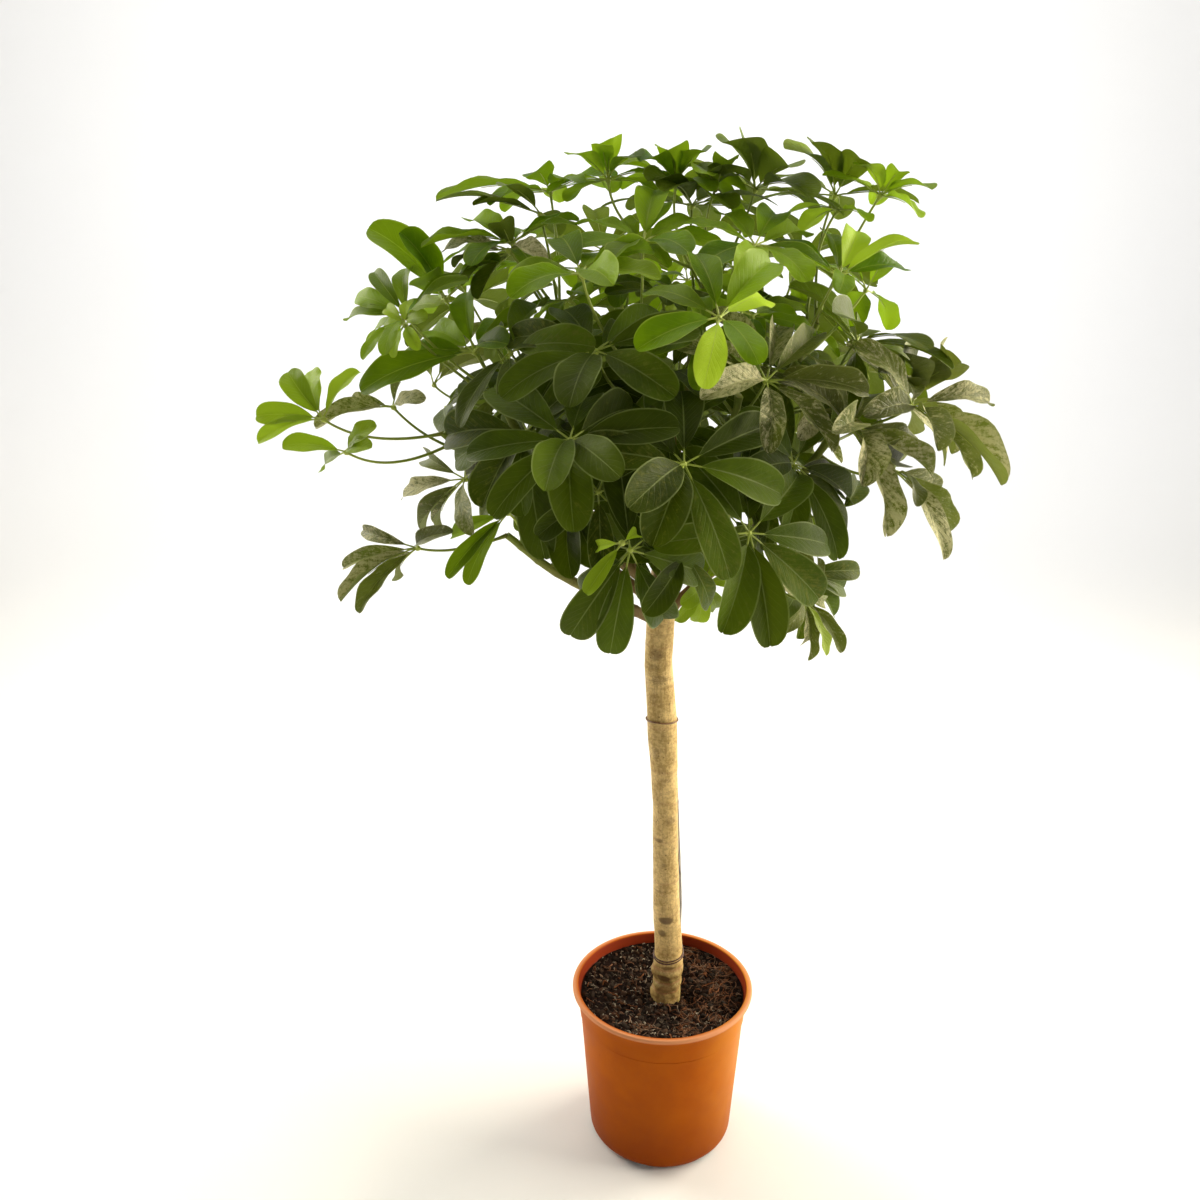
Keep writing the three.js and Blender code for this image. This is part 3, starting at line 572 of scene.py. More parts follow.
class Coat:
    """One material under work: its graph, the place on the piece, its shader and its output."""

    def __init__(self, name: str, effects: Effects) -> None:
        """Starts a material with a shader and nothing else.

        Args:
            name: the material's name.
            effects: the shared effects.
        """
        self.effects = effects
        self.material = bpy.data.materials.new(name)
        self.material.use_nodes = True
        self.material.node_tree.nodes.clear()
        self.graph = Graph(self.material.node_tree)
        self.place = self.graph.add("ShaderNodeTexCoord").outputs["Object"]
        self.shader = self.graph.add("ShaderNodeBsdfPrincipled")
        self.output = self.graph.add("ShaderNodeOutputMaterial")
        self.surface(self.shader.outputs[0])

    def surface(self, shader: Socket) -> None:
        """Gives the material its last shader."""
        self.graph.feed(self.output.inputs["Surface"], shader)

    def set(self, **values: Feed) -> None:
        """Feeds the shader's inputs, each named in lower case with underscores."""
        for key, value in values.items():
            label = key.replace("_", " ").title().replace("Ior", "IOR")
            self.graph.feed(self.shader.inputs[label], value)

    def tone(self) -> tuple[Socket, Socket, Socket]:
        """The three shares that the mesh gives each vertex."""
        node = self.graph.add("ShaderNodeAttribute", attribute_name="tone", attribute_type="GEOMETRY")
        return self.graph.split(node.outputs["Vector"])

    def mottle(
        self, scale: float, contrast: float, dark: Colour, light: Colour, at: Feed | None = None
    ) -> tuple[Socket, Socket]:
        """Cloudy colour.

        Args:
            scale: how many clouds there are in a metre.
            contrast: how soft their edges are.
            dark: the colour of one half of them.
            light: the colour of the other.
            at: the place, where it isn't that on the piece.

        Returns:
            The colour, and the share of light in it.
        """
        inputs = {"Scale": scale, "Contrast": contrast, "Dark": dark, "Light": light}
        inputs["Vector"] = self.place if at is None else at
        node = self.effects.place(self.graph, self.effects.mottle, inputs)
        return node.outputs["Color"], node.outputs["Mask"]

    def specks(self, scale: float, size: float, share: float) -> Socket:
        """The mask of scattered spots, which a share of the cells have."""
        inputs = {"Vector": self.place, "Scale": scale, "Size": size, "Share": share}
        return self.effects.place(self.graph, self.effects.specks, inputs).outputs[0]

    def grain(self, scale: float) -> Socket:
        """The height of fine unevenness."""
        inputs = {"Vector": self.place, "Scale": scale}
        return self.effects.place(self.graph, self.effects.grain, inputs).outputs[0]

    def stretched(self, share: float) -> Socket:
        """The place on the piece, with its height shrunk to a share, which draws effects out upwards."""
        inputs = {"Vector": self.place, "Scale": (1.0, 1.0, share)}
        return self.graph.add("ShaderNodeMapping", inputs).outputs[0]

    def bump(self, height: Feed, depth: float, strength: float) -> None:
        """Gives the shader a bump of a depth in metres."""
        inputs = {"Height": height, "Strength": strength, "Distance": depth}
        self.set(normal=self.graph.add("ShaderNodeBump", inputs).outputs[0])


@dataclass(frozen=True)
class Finish:
    """What every finish has: the name of its material."""

    name: str


@dataclass(frozen=True)
class PotPlastic(Finish):
    """Satin moulded plastic. Its tone holds the paler lip, a painted highlight, the scuffed foot and the
    redder inside, which is painted shade. The right side is painted lighter and the lower body darker.
    """

    dark: Colour = rgb(0.37, 0.074, 0.001)
    light: Colour = rgb(0.46, 0.105, 0.0015)
    # painted highlight: the paler colour of the rolled lip
    lip: Colour = rgb(0.66, 0.28, 0.13)
    # the colour of scuff marks and the worn foot, also used for painted shade low on the pot
    scuff_and_shade: Colour = rgb(0.22, 0.036, 0.001)
    # painted shade: the darker, redder colour of the pot's inside and of the collar's groove
    inner: Colour = rgb(0.22, 0.028, 0.008)
    # painted light: the lighter, yellower colour of the pot's lit right side
    painted_sunlit_colour: Colour = rgb(0.62, 0.24, 0.02)
    shine: float = 0.05

    def build(self, effects: Effects) -> bpy.types.Material:
        """Makes the material.

        Args:
            effects: the shared effects.

        Returns:
            The material.
        """
        coat = Coat(self.name, effects)
        graph, place = coat.graph, coat.place
        lip, worn, inside = coat.tone()
        colour, mask = coat.mottle(scale=22.0, contrast=0.3, dark=self.dark, light=self.light)
        colour = graph.tint(colour, coat.specks(scale=90.0, size=0.09, share=0.1), 0.55, self.scuff_and_shade)
        sideways, _, height = graph.split(place)
        cloud = graph.noise(place, 14.0, 3.0)
        # painted light: the right side is mixed towards a lighter colour, standing in for the lamps' light on
        # it
        painted_sunlight = graph.fade(graph.sum_of(cloud, 0.04, sideways), 0.04, 0.11, 0.0, 0.6)
        colour = graph.mix(painted_sunlight, colour, self.painted_sunlit_colour)
        # painted shade: the body is darkened from about 150 mm down towards the foot
        painted_low_shade = graph.fade(graph.sum_of(cloud, 0.06, height), 0.15, 0.03, 0.0, 0.75)
        colour = graph.mix(painted_low_shade, colour, self.scuff_and_shade)
        rubbed = graph.fade(graph.noise(place, 140.0, 5.0, 0.7), 0.5, 0.75)
        colour = graph.mix(graph.times(rubbed, worn), colour, self.scuff_and_shade)
        # painted shade: the inside and the collar's groove are darkened
        colour = graph.mix(inside, colour, self.inner)
        # painted highlight: the rolled lip is made paler
        colour = graph.mix(lip, colour, self.lip)
        roughness = graph.fade(mask, 0.0, 1.0, 0.4, 0.5)
        coat.set(base_color=colour, specular_ior_level=self.shine, roughness=roughness)
        coat.bump(coat.grain(900.0), depth=0.0003, strength=0.12)
        return coat.material


@dataclass(frozen=True)
class Peat(Finish):
    """Dark peat. Its tone is the share of red fibre, of pale grit partly painted as glints of wet peat, and
    of wetness.
    """

    dark: Colour = rgb(0.0035, 0.0015, 0.0008)
    light: Colour = rgb(0.013, 0.004, 0.0016)
    fibre: Colour = rgb(0.23, 0.085, 0.034)
    # pale grit, partly perlite and partly painted glints of wet peat
    grit_and_glint: Colour = rgb(0.52, 0.45, 0.34)
    shine: float = 0.08

    def build(self, effects: Effects) -> bpy.types.Material:
        """Makes the material.

        Args:
            effects: the shared effects.

        Returns:
            The material.
        """
        coat = Coat(self.name, effects)
        graph = coat.graph
        fibre, grit_and_glint, wet = coat.tone()
        colour, _ = coat.mottle(scale=330.0, contrast=0.16, dark=self.dark, light=self.light)
        colour = graph.mix(fibre, colour, self.fibre)
        colour = graph.mix(grit_and_glint, colour, self.grit_and_glint)
        roughness = graph.fade(wet, 0.0, 1.0, 0.95, 0.5)
        coat.set(base_color=colour, specular_ior_level=self.shine, roughness=roughness)
        coat.bump(coat.grain(1500.0), depth=0.0006, strength=0.7)
        return coat.material


@dataclass(frozen=True)
class Bark(Finish):
    """Pale ringed bark. Its tone is the share of dark scar, of warm brown and of green."""

    pale: Colour = rgb(0.74, 0.52, 0.20)
    shade: Colour = rgb(0.38, 0.245, 0.064)
    tan: Colour = rgb(0.24, 0.140, 0.030)
    scar: Colour = rgb(0.135, 0.073, 0.018)
    warm: Colour = rgb(0.30, 0.13, 0.042)
    green: Colour = rgb(0.19, 0.17, 0.035)

    def build(self, effects: Effects) -> bpy.types.Material:
        """Makes the material.

        Args:
            effects: the shared effects.

        Returns:
            The material.
        """
        coat = Coat(self.name, effects)
        graph, place = coat.graph, coat.place
        scar, warm, green = coat.tone()
        colour, mask = coat.mottle(scale=60.0, contrast=0.2, dark=self.shade, light=self.pale)
        colour = graph.mix(green, colour, self.green)
        fleck, _ = coat.mottle(scale=330.0, contrast=0.12, dark=self.tan, light=self.pale)
        colour = graph.mix(0.36, colour, fleck)
        inputs = {"Vector": place, "Scale": 260.0, "Waver": 1.6}
        rings = effects.place(graph, effects.bands, inputs).outputs[0]
        colour = graph.tint(colour, rings, 0.6, self.tan)
        streaks = graph.fade(graph.noise(coat.stretched(0.08), 520.0, 4.0, 0.7), 0.52, 0.66)
        colour = graph.tint(colour, streaks, 0.45, self.tan)
        colour = graph.tint(colour, coat.specks(scale=520.0, size=0.36, share=0.26), 0.8, self.warm)
        colour = graph.tint(colour, coat.specks(scale=210.0, size=0.24, share=0.24), 0.7, self.scar)
        colour = graph.mix(warm, colour, self.warm)
        ragged = graph.sum_of(graph.noise(place, 420.0, 5.0, 0.8), 2.0, -1.0)
        edge = graph.fade(graph.math("ADD", scar, ragged), 0.18, 0.42)
        edge = graph.times(edge, graph.fade(scar, 0.0, 0.2))
        thick = graph.fade(scar, 0.0, 1.0, 0.15, 0.95)
        colour = graph.mix(graph.times(edge, thick), colour, self.scar)
        coat.set(base_color=colour, roughness=graph.fade(mask, 0.0, 1.0, 0.66, 0.46))
        coat.bump(graph.math("SUBTRACT", coat.grain(700.0), rings), depth=0.0005, strength=0.5)
        return coat.material


@dataclass(frozen=True)
class GreenStem(Finish):
    """Stems of branches and leaves. Its tone is the share of brown bark, of lime and of shade."""

    green: Colour = rgb(0.14, 0.19, 0.010)
    lime: Colour = rgb(0.47, 0.56, 0.09)
    brown: Colour = rgb(0.17, 0.10, 0.03)
    shine: float = 0.35

    def build(self, effects: Effects) -> bpy.types.Material:
        """Makes the material.

        Args:
            effects: the shared effects.

        Returns:
            The material.
        """
        coat = Coat(self.name, effects)
        graph = coat.graph
        brown, lime, shade = coat.tone()
        dark = rgb(*(part * 0.6 for part in self.green[:3]))
        colour, _ = coat.mottle(scale=120.0, contrast=0.25, dark=dark, light=self.green)
        colour = graph.mix(lime, colour, self.lime)
        colour = graph.mix(brown, colour, self.brown)
        colour = graph.tint(colour, coat.specks(scale=650.0, size=0.3, share=0.25), 0.4, self.lime)
        roughness = graph.fade(shade, 0.0, 1.0, 0.42, 0.7)
        coat.set(base_color=colour, specular_ior_level=self.shine, roughness=roughness)
        coat.bump(coat.grain(900.0), depth=0.0003, strength=0.3)
        return coat.material


@dataclass(frozen=True)
class CaneSkin(Finish):
    """Weathered cane, streaked along its length."""

    dark: Colour = rgb(0.12, 0.11, 0.11)
    light: Colour = rgb(0.36, 0.34, 0.33)

    def build(self, effects: Effects) -> bpy.types.Material:
        """Makes the material.

        Args:
            effects: the shared effects.

        Returns:
            The material.
        """
        coat = Coat(self.name, effects)
        drawn = coat.stretched(0.06)
        colour, mask = coat.mottle(scale=900.0, contrast=0.2, dark=self.dark, light=self.light, at=drawn)
        colour = coat.graph.tint(colour, coat.specks(scale=300.0, size=0.3, share=0.15), 0.6, self.dark)
        coat.set(base_color=colour, roughness=coat.graph.fade(mask, 0.0, 1.0, 0.8, 0.6))
        coat.bump(mask, depth=0.0003, strength=0.5)
        return coat.material


@dataclass(frozen=True)
class TieCord(Finish):
    """Thin tie wire in its skin."""

    dark: Colour = rgb(0.035, 0.014, 0.010)
    light: Colour = rgb(0.16, 0.06, 0.035)

    def build(self, effects: Effects) -> bpy.types.Material:
        """Makes the material.

        Args:
            effects: the shared effects.

        Returns:
            The material.
        """
        coat = Coat(self.name, effects)
        colour, mask = coat.mottle(scale=420.0, contrast=0.2, dark=self.dark, light=self.light)
        coat.set(base_color=colour, roughness=coat.graph.fade(mask, 0.0, 1.0, 0.35, 0.6))
        coat.bump(mask, depth=0.0002, strength=0.3)
        return coat.material


@dataclass(frozen=True)
class Blade(Finish):
    """Leaf blades of one age. Its tone is lightness, the share of lime, which is partly painted glow of light
    through the blade, and the share of dry film, whose pale colour is partly painted sheen.
    """

    dark: Colour
    light: Colour
    # the lime colour, partly the young leaflets' own and partly a painted glow of light through the blade
    lime: Colour
    # the colour of veins, midrib and margin; on the margin it is partly a painted rim highlight
    vein: Colour
    under: Colour
    glow: Colour
    rough: float
    thinness: float
    shine: float
    # the colour of the dry film, partly a painted sheen
    film: Colour
    coat: float
    relief: float
    sheen: Colour = rgb(1.0, 0.93, 0.5)

    def build(self, effects: Effects) -> bpy.types.Material:
        """Makes the material, a glossy blade that lets some of the light behind it through.

        Args:
            effects: the shared effects.

        Returns:
            The material.
        """
        coat = Coat(self.name, effects)
        graph = coat.graph
        lightness, lime, film_and_sheen_amount = coat.tone()
        colour, mask = coat.mottle(scale=45.0, contrast=0.25, dark=self.dark, light=self.light)
        # lime share: partly young colour, partly painted glow and painted sunlight
        colour = graph.mix(lime, colour, self.lime)
        value = graph.fade(lightness, 0.0, 1.0, 0.45, 1.5)
        colour = graph.add("ShaderNodeHueSaturation", {"Value": value, "Color": colour}).outputs[0]
        blade = graph.add("ShaderNodeUVMap", uv_map="blade").outputs[0]
        inputs = {"Vector": blade, "Seed": graph.times(lightness, 90.0)}
        lines = effects.place(graph, effects.veins, inputs).outputs
        inputs = {"Vector": coat.place, "Streaks": lines["Streaks"], "Amount": film_and_sheen_amount}
        film = effects.place(graph, effects.film, inputs).outputs[0]
        # dry film laid over the blade, its pale colour partly painted sheen
        upper = graph.tint(colour, film, self.coat, self.film)
        # the pale margin is partly the blade's paler edge and partly a painted highlight along its rim
        for label, strength in (("Veins", 0.08), ("Midrib", 0.6), ("Margin", 0.6)):
            upper = graph.tint(upper, lines[label], strength, self.vein)
        behind = graph.add("ShaderNodeNewGeometry").outputs["Backfacing"]
        lower = graph.mix(0.6, colour, self.under)
        rough = graph.sum_of(film, 0.3, self.rough, hold=True)
        rough = graph.sum_of(behind, 0.2, graph.sum_of(mask, 0.08, rough))
        coat.set(base_color=graph.mix(behind, upper, lower), roughness=rough)
        coat.set(specular_ior_level=self.shine, specular_tint=self.sheen)
        height = graph.sum_of(lines["Veins"], -0.45, coat.grain(260.0))
        coat.bump(graph.sum_of(lines["Streaks"], 1.5, height), depth=0.0007, strength=self.relief)
        glow = graph.add("ShaderNodeBsdfTranslucent", {"Color": graph.mix(0.5, colour, self.glow)})
        both = {0: self.thinness, 1: coat.shader.outputs[0], 2: glow.outputs[0]}
        coat.surface(graph.add("ShaderNodeMixShader", both).outputs[0])
        return coat.material


# ---- standpoint ------------------------------------------------------------------------------------


@dataclass(frozen=True)
class Standpoint:
    """Where the plant is looked at from. A sighting is a point of a square view of `frame_size` points."""

    eye: tuple[float, float, float] = (-0.066, -1.029, 0.932)
    dip: float = math.radians(17.7)
    frame_size: float = 1200.0
    focus: float = 1139.0
    sensor: float = 36.0

    def sight(self, across: float, down: float, reach: float) -> Vector:
        """The place behind a point of the view.

        Args:
            across: the point's distance from the view's left edge.
            down: its distance from the top edge.
            reach: how far before the trunk's axis the place is, in metres.

        Returns:
            The place.
        """
        side = (across - self.frame_size / 2) / self.focus
        rise = (self.frame_size / 2 - down) / self.focus
        ahead = math.cos(self.dip) + rise * math.sin(self.dip)
        up = rise * math.cos(self.dip) - math.sin(self.dip)
        line = Vector((side, ahead, up))
        eye = Vector(self.eye)
        return eye + line * ((-reach - eye.y) / line.y)

    def line_to(self, sighting: tuple[float, float]) -> Vector:
        """The direction in which a point of the view is seen."""
        return (self.sight(*sighting, 0.0) - Vector(self.eye)).normalized()

    def sighted(self, place: Vector) -> tuple[float, float]:
        """Where in the view a place is seen.

        Args:
            place: the place, in the frame's own metres.

        Returns:
            Its place across and down the view.
        """
        away = place - Vector(self.eye)
        ahead = away.y * math.cos(self.dip) - away.z * math.sin(self.dip)
        up = away.z * math.cos(self.dip) + away.y * math.sin(self.dip)
        middle = self.frame_size / 2
        return middle + self.focus * away.x / ahead, middle - self.focus * up / ahead

    def make_camera(self) -> None:
        """Sets the scene's camera at the standpoint."""
        data = bpy.data.cameras.new("standpoint")
        data.sensor_width = self.sensor
        data.lens = self.sensor * self.focus / self.frame_size
        camera = bpy.data.objects.new("standpoint", data)
        camera.location = self.eye
        camera.rotation_euler = (math.pi / 2 - self.dip, 0.0, 0.0)
        bpy.context.scene.collection.objects.link(camera)
        bpy.context.scene.camera = camera


@dataclass(frozen=True)
class SoftBox:
    """A square area light that faces a target."""

    name: str
    place: tuple[float, float, float]
    size: float
    watts: float
    tint: tuple[float, float, float] = (1.0, 1.0, 1.0)
    target: tuple[float, float, float] = (-0.02, 0.0, 0.45)
    spread: float = math.radians(130)

    def build(self) -> None:
        """Puts the light in the scene."""
        data = bpy.data.lights.new(self.name, "AREA")
        data.size = self.size
        data.energy = self.watts
        data.color = self.tint
        data.spread = self.spread
        lamp = bpy.data.objects.new(self.name, data)
        lamp.location = self.place
        aim = Vector(self.target) - Vector(self.place)
        lamp.rotation_euler = aim.to_track_quat("-Z", "Y").to_euler()
        lamp.visible_camera = False
        bpy.context.scene.collection.objects.link(lamp)


@dataclass
class Studio:
    """A pale floor that bends up into a round wall, soft lights and a pale surround."""

    floor_radius: float = 4.0
    wall_height: float = 3.6
    bend: float = 2.4
    bend_steps: int = 16
    hole: float = 0.02
    sides: int = 96
    colour: Colour = rgb(0.86, 0.86, 0.86)
    dullness: float = 0.9
    surround: float = 0.08
    surround_tint: Colour = rgb(1.0, 0.985, 0.95)
    lights: tuple[SoftBox, ...] = (
        SoftBox("top_light", (-0.1, 0.7, 2.7), 1.8, 17.0, (1.0, 0.955, 0.82)),
        SoftBox("right_back_light", (2.0, 0.95, 1.3), 1.4, 26.0, (1.0, 0.92, 0.74), spread=math.radians(100)),
        SoftBox("right_light", (2.1, -0.25, 1.1), 0.9, 12.0, (1.0, 0.94, 0.78), spread=math.radians(100)),
        SoftBox("left_back_light", (-1.9, 1.2, 1.3), 1.4, 16.0, (1.0, 0.955, 0.82), spread=math.radians(100)),
        SoftBox("front_light", (-0.9, -2.2, 1.9), 1.2, 1.0, (1.0, 0.97, 0.93)),
        SoftBox("wall_light", (0.0, 1.2, 2.6), 2.6, 62.0, target=(0.0, 3.6, 1.1)),
    )

    def build(self) -> None:
        """Makes floor, lights and surround."""
        bpy.context.scene.view_settings.view_transform = "Standard"
        world = bpy.data.worlds.new("surround")
        world.use_nodes = True
        sky = world.node_tree.nodes["Background"]
        sky.inputs["Color"].default_value = self.surround_tint
        sky.inputs["Strength"].default_value = self.surround
        bpy.context.scene.world = world
        for light in self.lights:
            light.build()
        maker = MeshMaker()
        flat = self.floor_radius - self.bend
        profile = [(self.hole, 0.0), (flat, 0.0)]
        for turn in quarter(self.bend_steps)[1:]:
            profile.append((flat + math.sin(turn) * self.bend, self.bend * (1 - math.cos(turn))))
        profile.append((self.floor_radius, self.wall_height))
        rings = [maker.ring(circle(radius, height, self.sides)) for radius, height in profile]
        maker.skin(rings)
        maker.face(*rings[0])
        material = bpy.data.materials.new("studio_floor")
        material.use_nodes = True
        shader = material.node_tree.nodes["Principled BSDF"]
        shader.inputs["Base Color"].default_value = self.colour
        shader.inputs["Roughness"].default_value = self.dullness
        maker.build("studio_floor", [material])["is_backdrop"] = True


# ---- pot and soil ----------------------------------------------------------------------------------


@dataclass
class NurseryPot:
    """The thin tapered pot: a collar line, a hollow flare, a rolled lip and drains in its foot."""

    height: float = 178 * MM
    rim_radius: float = 95 * MM
    lip_depth: float = 5 * MM
    lip_steps: int = 12
    flare_foot: float = 156 * MM
    collar_foot: float = 145 * MM
    collar_step: float = 0.9 * MM
    groove: float = 0.7 * MM
    levels: int = 12
    ledge_depth: float = 10.5 * MM
    top_radius: float = 87 * MM
    base_radius: float = 76.5 * MM
    corner: float = 12 * MM
    wall: float = 1.8 * MM
    floor: float = 3 * MM
    sides: int = 192
    drains: int = 6
    first_drain: float = -1.94
    drain_width: float = 28 * MM
    drain_height: float = 6 * MM
    drain_depth: float = 10 * MM
    drain_round: float = 5.5 * MM
    crisp_from: float = math.radians(38)

    def body_radius(self, height: float) -> float:
        """Outer radius of the tapered body at a height."""
        share = (height - self.corner) / (self.flare_foot - self.corner)
        return blend(self.base_radius, self.top_radius, share)

    def corner_arc(self, inset: float, lift: float, steps: int = 8) -> list[tuple[float, float]]:
        """The round corner between floor and wall, from the floor up.

        Args:
            inset: how far inside the outer skin it runs.
            lift: the least height of its points.
            steps: how many pieces it has.

        Returns:
            Radius and height of each point.
        """
        bend = self.corner - inset
        arc = []
        for turn in quarter(steps):
            across = self.base_radius - self.corner + math.sin(turn) * bend
            arc.append((across, max(lift, self.corner - math.cos(turn) * bend)))
        return arc

    def flare(self, foot: float, top: float, steps: int = 8) -> list[tuple[float, float]]:
        """The hollow curve under the lip, from the radius at its foot to the one at its top."""
        high = self.height - self.lip_depth
        shares = [i / steps for i in range(steps + 1)]
        return [(blend(foot, top, s * s), blend(self.flare_foot, high, s)) for s in shares]

    def lip(self) -> list[tuple[float, float]]:
        """The rolled lip, from its underside round to its inner edge.

        Returns:
            Pairs of radius and height.
        """
        under = self.height - self.lip_depth
        middle = self.height - self.lip_depth / 2
        half = self.lip_depth / 2
        inner = self.rim_radius - self.lip_depth
        arc = [(inner + 1.0 * MM, under - 0.2 * MM)]
        for i in range(self.lip_steps + 1):
            turn = -math.pi / 2 + math.pi * i / self.lip_steps
            across = self.rim_radius - half * 0.8 + math.cos(turn) * half * 0.8
            arc.append((across, middle + math.sin(turn) * half))
        arc += [(inner - 0.6 * MM, self.height - 0.2 * MM), (inner - 1.5 * MM, self.height - 1.2 * MM)]
        return arc

    def profile(self) -> list[tuple[float, float]]:
        """Radius and height all round the wall's section, from the middle of the underside.

        Returns:
            Pairs of radius and height.
        """
        foot = self.body_radius(self.flare_foot)
        top = self.rim_radius - self.lip_depth
        collar = self.body_radius(self.collar_foot)
        step = self.collar_step
        count = self.levels
        levels = [blend(self.corner, self.collar_foot - 2 * MM, i / count) for i in range(1, count + 1)]
        line = [
            *((self.body_radius(level), level) for level in levels),
            (collar, self.collar_foot - 0.3 * MM),
            (collar - self.groove, self.collar_foot),
            (collar - self.groove, self.collar_foot + 0.7 * MM),
            (collar + step, self.collar_foot + step),
        ]
        ledge = self.height - self.ledge_depth
        inner = self.flare(foot - self.wall, top - self.wall)[::-1]
        above = [(r, z) for r, z in inner if z > ledge]
        below = [(r - 0.4 * MM, z) for r, z in inner if z < ledge]
        middle = [(above[-1][0], ledge + 0.1 * MM), (below[0][0], ledge - 0.7 * MM)]
        return [
            (0.0, 0.0),
            *self.corner_arc(0.0, 0.0),
            *line,
            *self.flare(foot + step, top),
            *self.lip(),
            *above,
            *middle,
            *below,
            *self.corner_arc(self.wall, self.floor)[::-1],
            (0.0, self.floor),
        ]

    def outer_radius(self, height: float) -> float:
        """Outer radius of body and flare at a height.

        Args:
            height: height above the table, in metres.

        Returns:
            The radius, in metres.
        """
        if height < self.flare_foot:
            return self.body_radius(height)
        share = clamp((height - self.flare_foot) / (self.height - self.lip_depth - self.flare_foot))
        return blend(self.body_radius(self.flare_foot), self.rim_radius - self.lip_depth, share * share)

    def tone(self, place: Vector) -> Tone:
        """How much of the paler lip, a painted highlight, of the scuffed foot and of the inside, which is
        painted shade, shows at a point.

        Args:
            place: a point of the pot's skin.

        Returns:
            The three shares. The groove of the collar counts as inside, so that it is painted as a dark line
            of shade.
        """
        radius, height, turn = math.hypot(place.x, place.y), place.z, math.atan2(place.y, place.x)
        # painted highlight: the share of the paler colour over the rolled lip
        lip = smooth_step(self.height - 4.4 * MM, self.height - 2.2 * MM, height)
        lip *= smooth_step(self.rim_radius - 4 * MM, self.rim_radius - 1.5 * MM, radius)
        worn = 1.0 - smooth_step(4 * MM, 26 * MM, height)
        patch = noise.noise(Vector((math.cos(turn), math.sin(turn), height * 20)) * 2.0)
        inner = self.outer_radius(height) - self.wall / 2
        # painted shade: the collar's groove and the inside get the darker inside colour
        is_groove = -0.1 * MM < height - self.collar_foot < 0.8 * MM and radius > inner
        is_inside = height > self.corner and radius < inner
        return (lip, clamp(worn * 0.9 + patch * 0.12), float(is_inside or is_groove))

    def drain_cutters(self) -> bpy.types.Object:
        """Rounded blocks where the drains are cut, as one object.

        Returns:
            The object that is cut from the pot.
        """
        maker = MeshMaker()
        for i in range(self.drains):
            turn = self.first_drain + math.tau * i / self.drains
            stand = Matrix.Rotation(turn, 4, "Z") @ Matrix.Translation((self.base_radius, 0.0, 0.0))
            half, depth, radius = self.drain_width / 2, self.drain_depth, self.drain_round
            outline = [(-half, -4 * MM)]
            for angle in quarter(6):
                rise = self.drain_height - radius * (1 - math.sin(angle))
                outline.append((-half + radius * (1 - math.cos(angle)), rise))
            outline += [(-y, z) for y, z in outline[::-1]]
            outline.reverse()
            rings = [maker.ring(stand @ Vector((x, y, z)) for y, z in outline) for x in (-depth, depth)]
            maker.skin(rings)
            maker.face(*rings[0][::-1])
            maker.face(*rings[1])
        mesh = bpy.data.meshes.new("drain_cutters")
        mesh.from_pydata([tuple(p) for p in maker.points], [], maker.faces)
        cutters = bpy.data.objects.new("drain_cutters", mesh)
        bpy.context.scene.collection.objects.link(cutters)
        return cutters

    def build(self, plastic: bpy.types.Material) -> bpy.types.Object:
        """Makes the pot.

        Args:
            plastic: the pot's finish.

        Returns:
            The finished piece.
        """
        maker = MeshMaker()
        profile = self.profile()
        rings = [maker.ring(circle(radius, height, self.sides)) for radius, height in profile[1:-1]]
        maker.skin(rings)
        for ring, height, first in ((rings[0], profile[0][1], True), (rings[-1], profile[-1][1], False)):
            maker.cap(ring, Vector((0.0, 0.0, height)), NO_TONE, 0, first)
        pot = maker.build("nursery_pot", [plastic], self.crisp_from)
        cutters = self.drain_cutters()
        cut = pot.modifiers.new("drains", "BOOLEAN")
        cut.operation = "DIFFERENCE"
        cut.object = cutters
        cut.solver = "EXACT"
        depsgraph = bpy.context.evaluated_depsgraph_get()
        pot.data = bpy.data.meshes.new_from_object(pot.evaluated_get(depsgraph))
        pot.modifiers.clear()
        bpy.data.objects.remove(cutters)
        tones = [share for vertex in pot.data.vertices for share in self.tone(vertex.co)]
        pot.data.attributes["tone"].data.foreach_set("vector", tones)
        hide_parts("pot")
        return pot


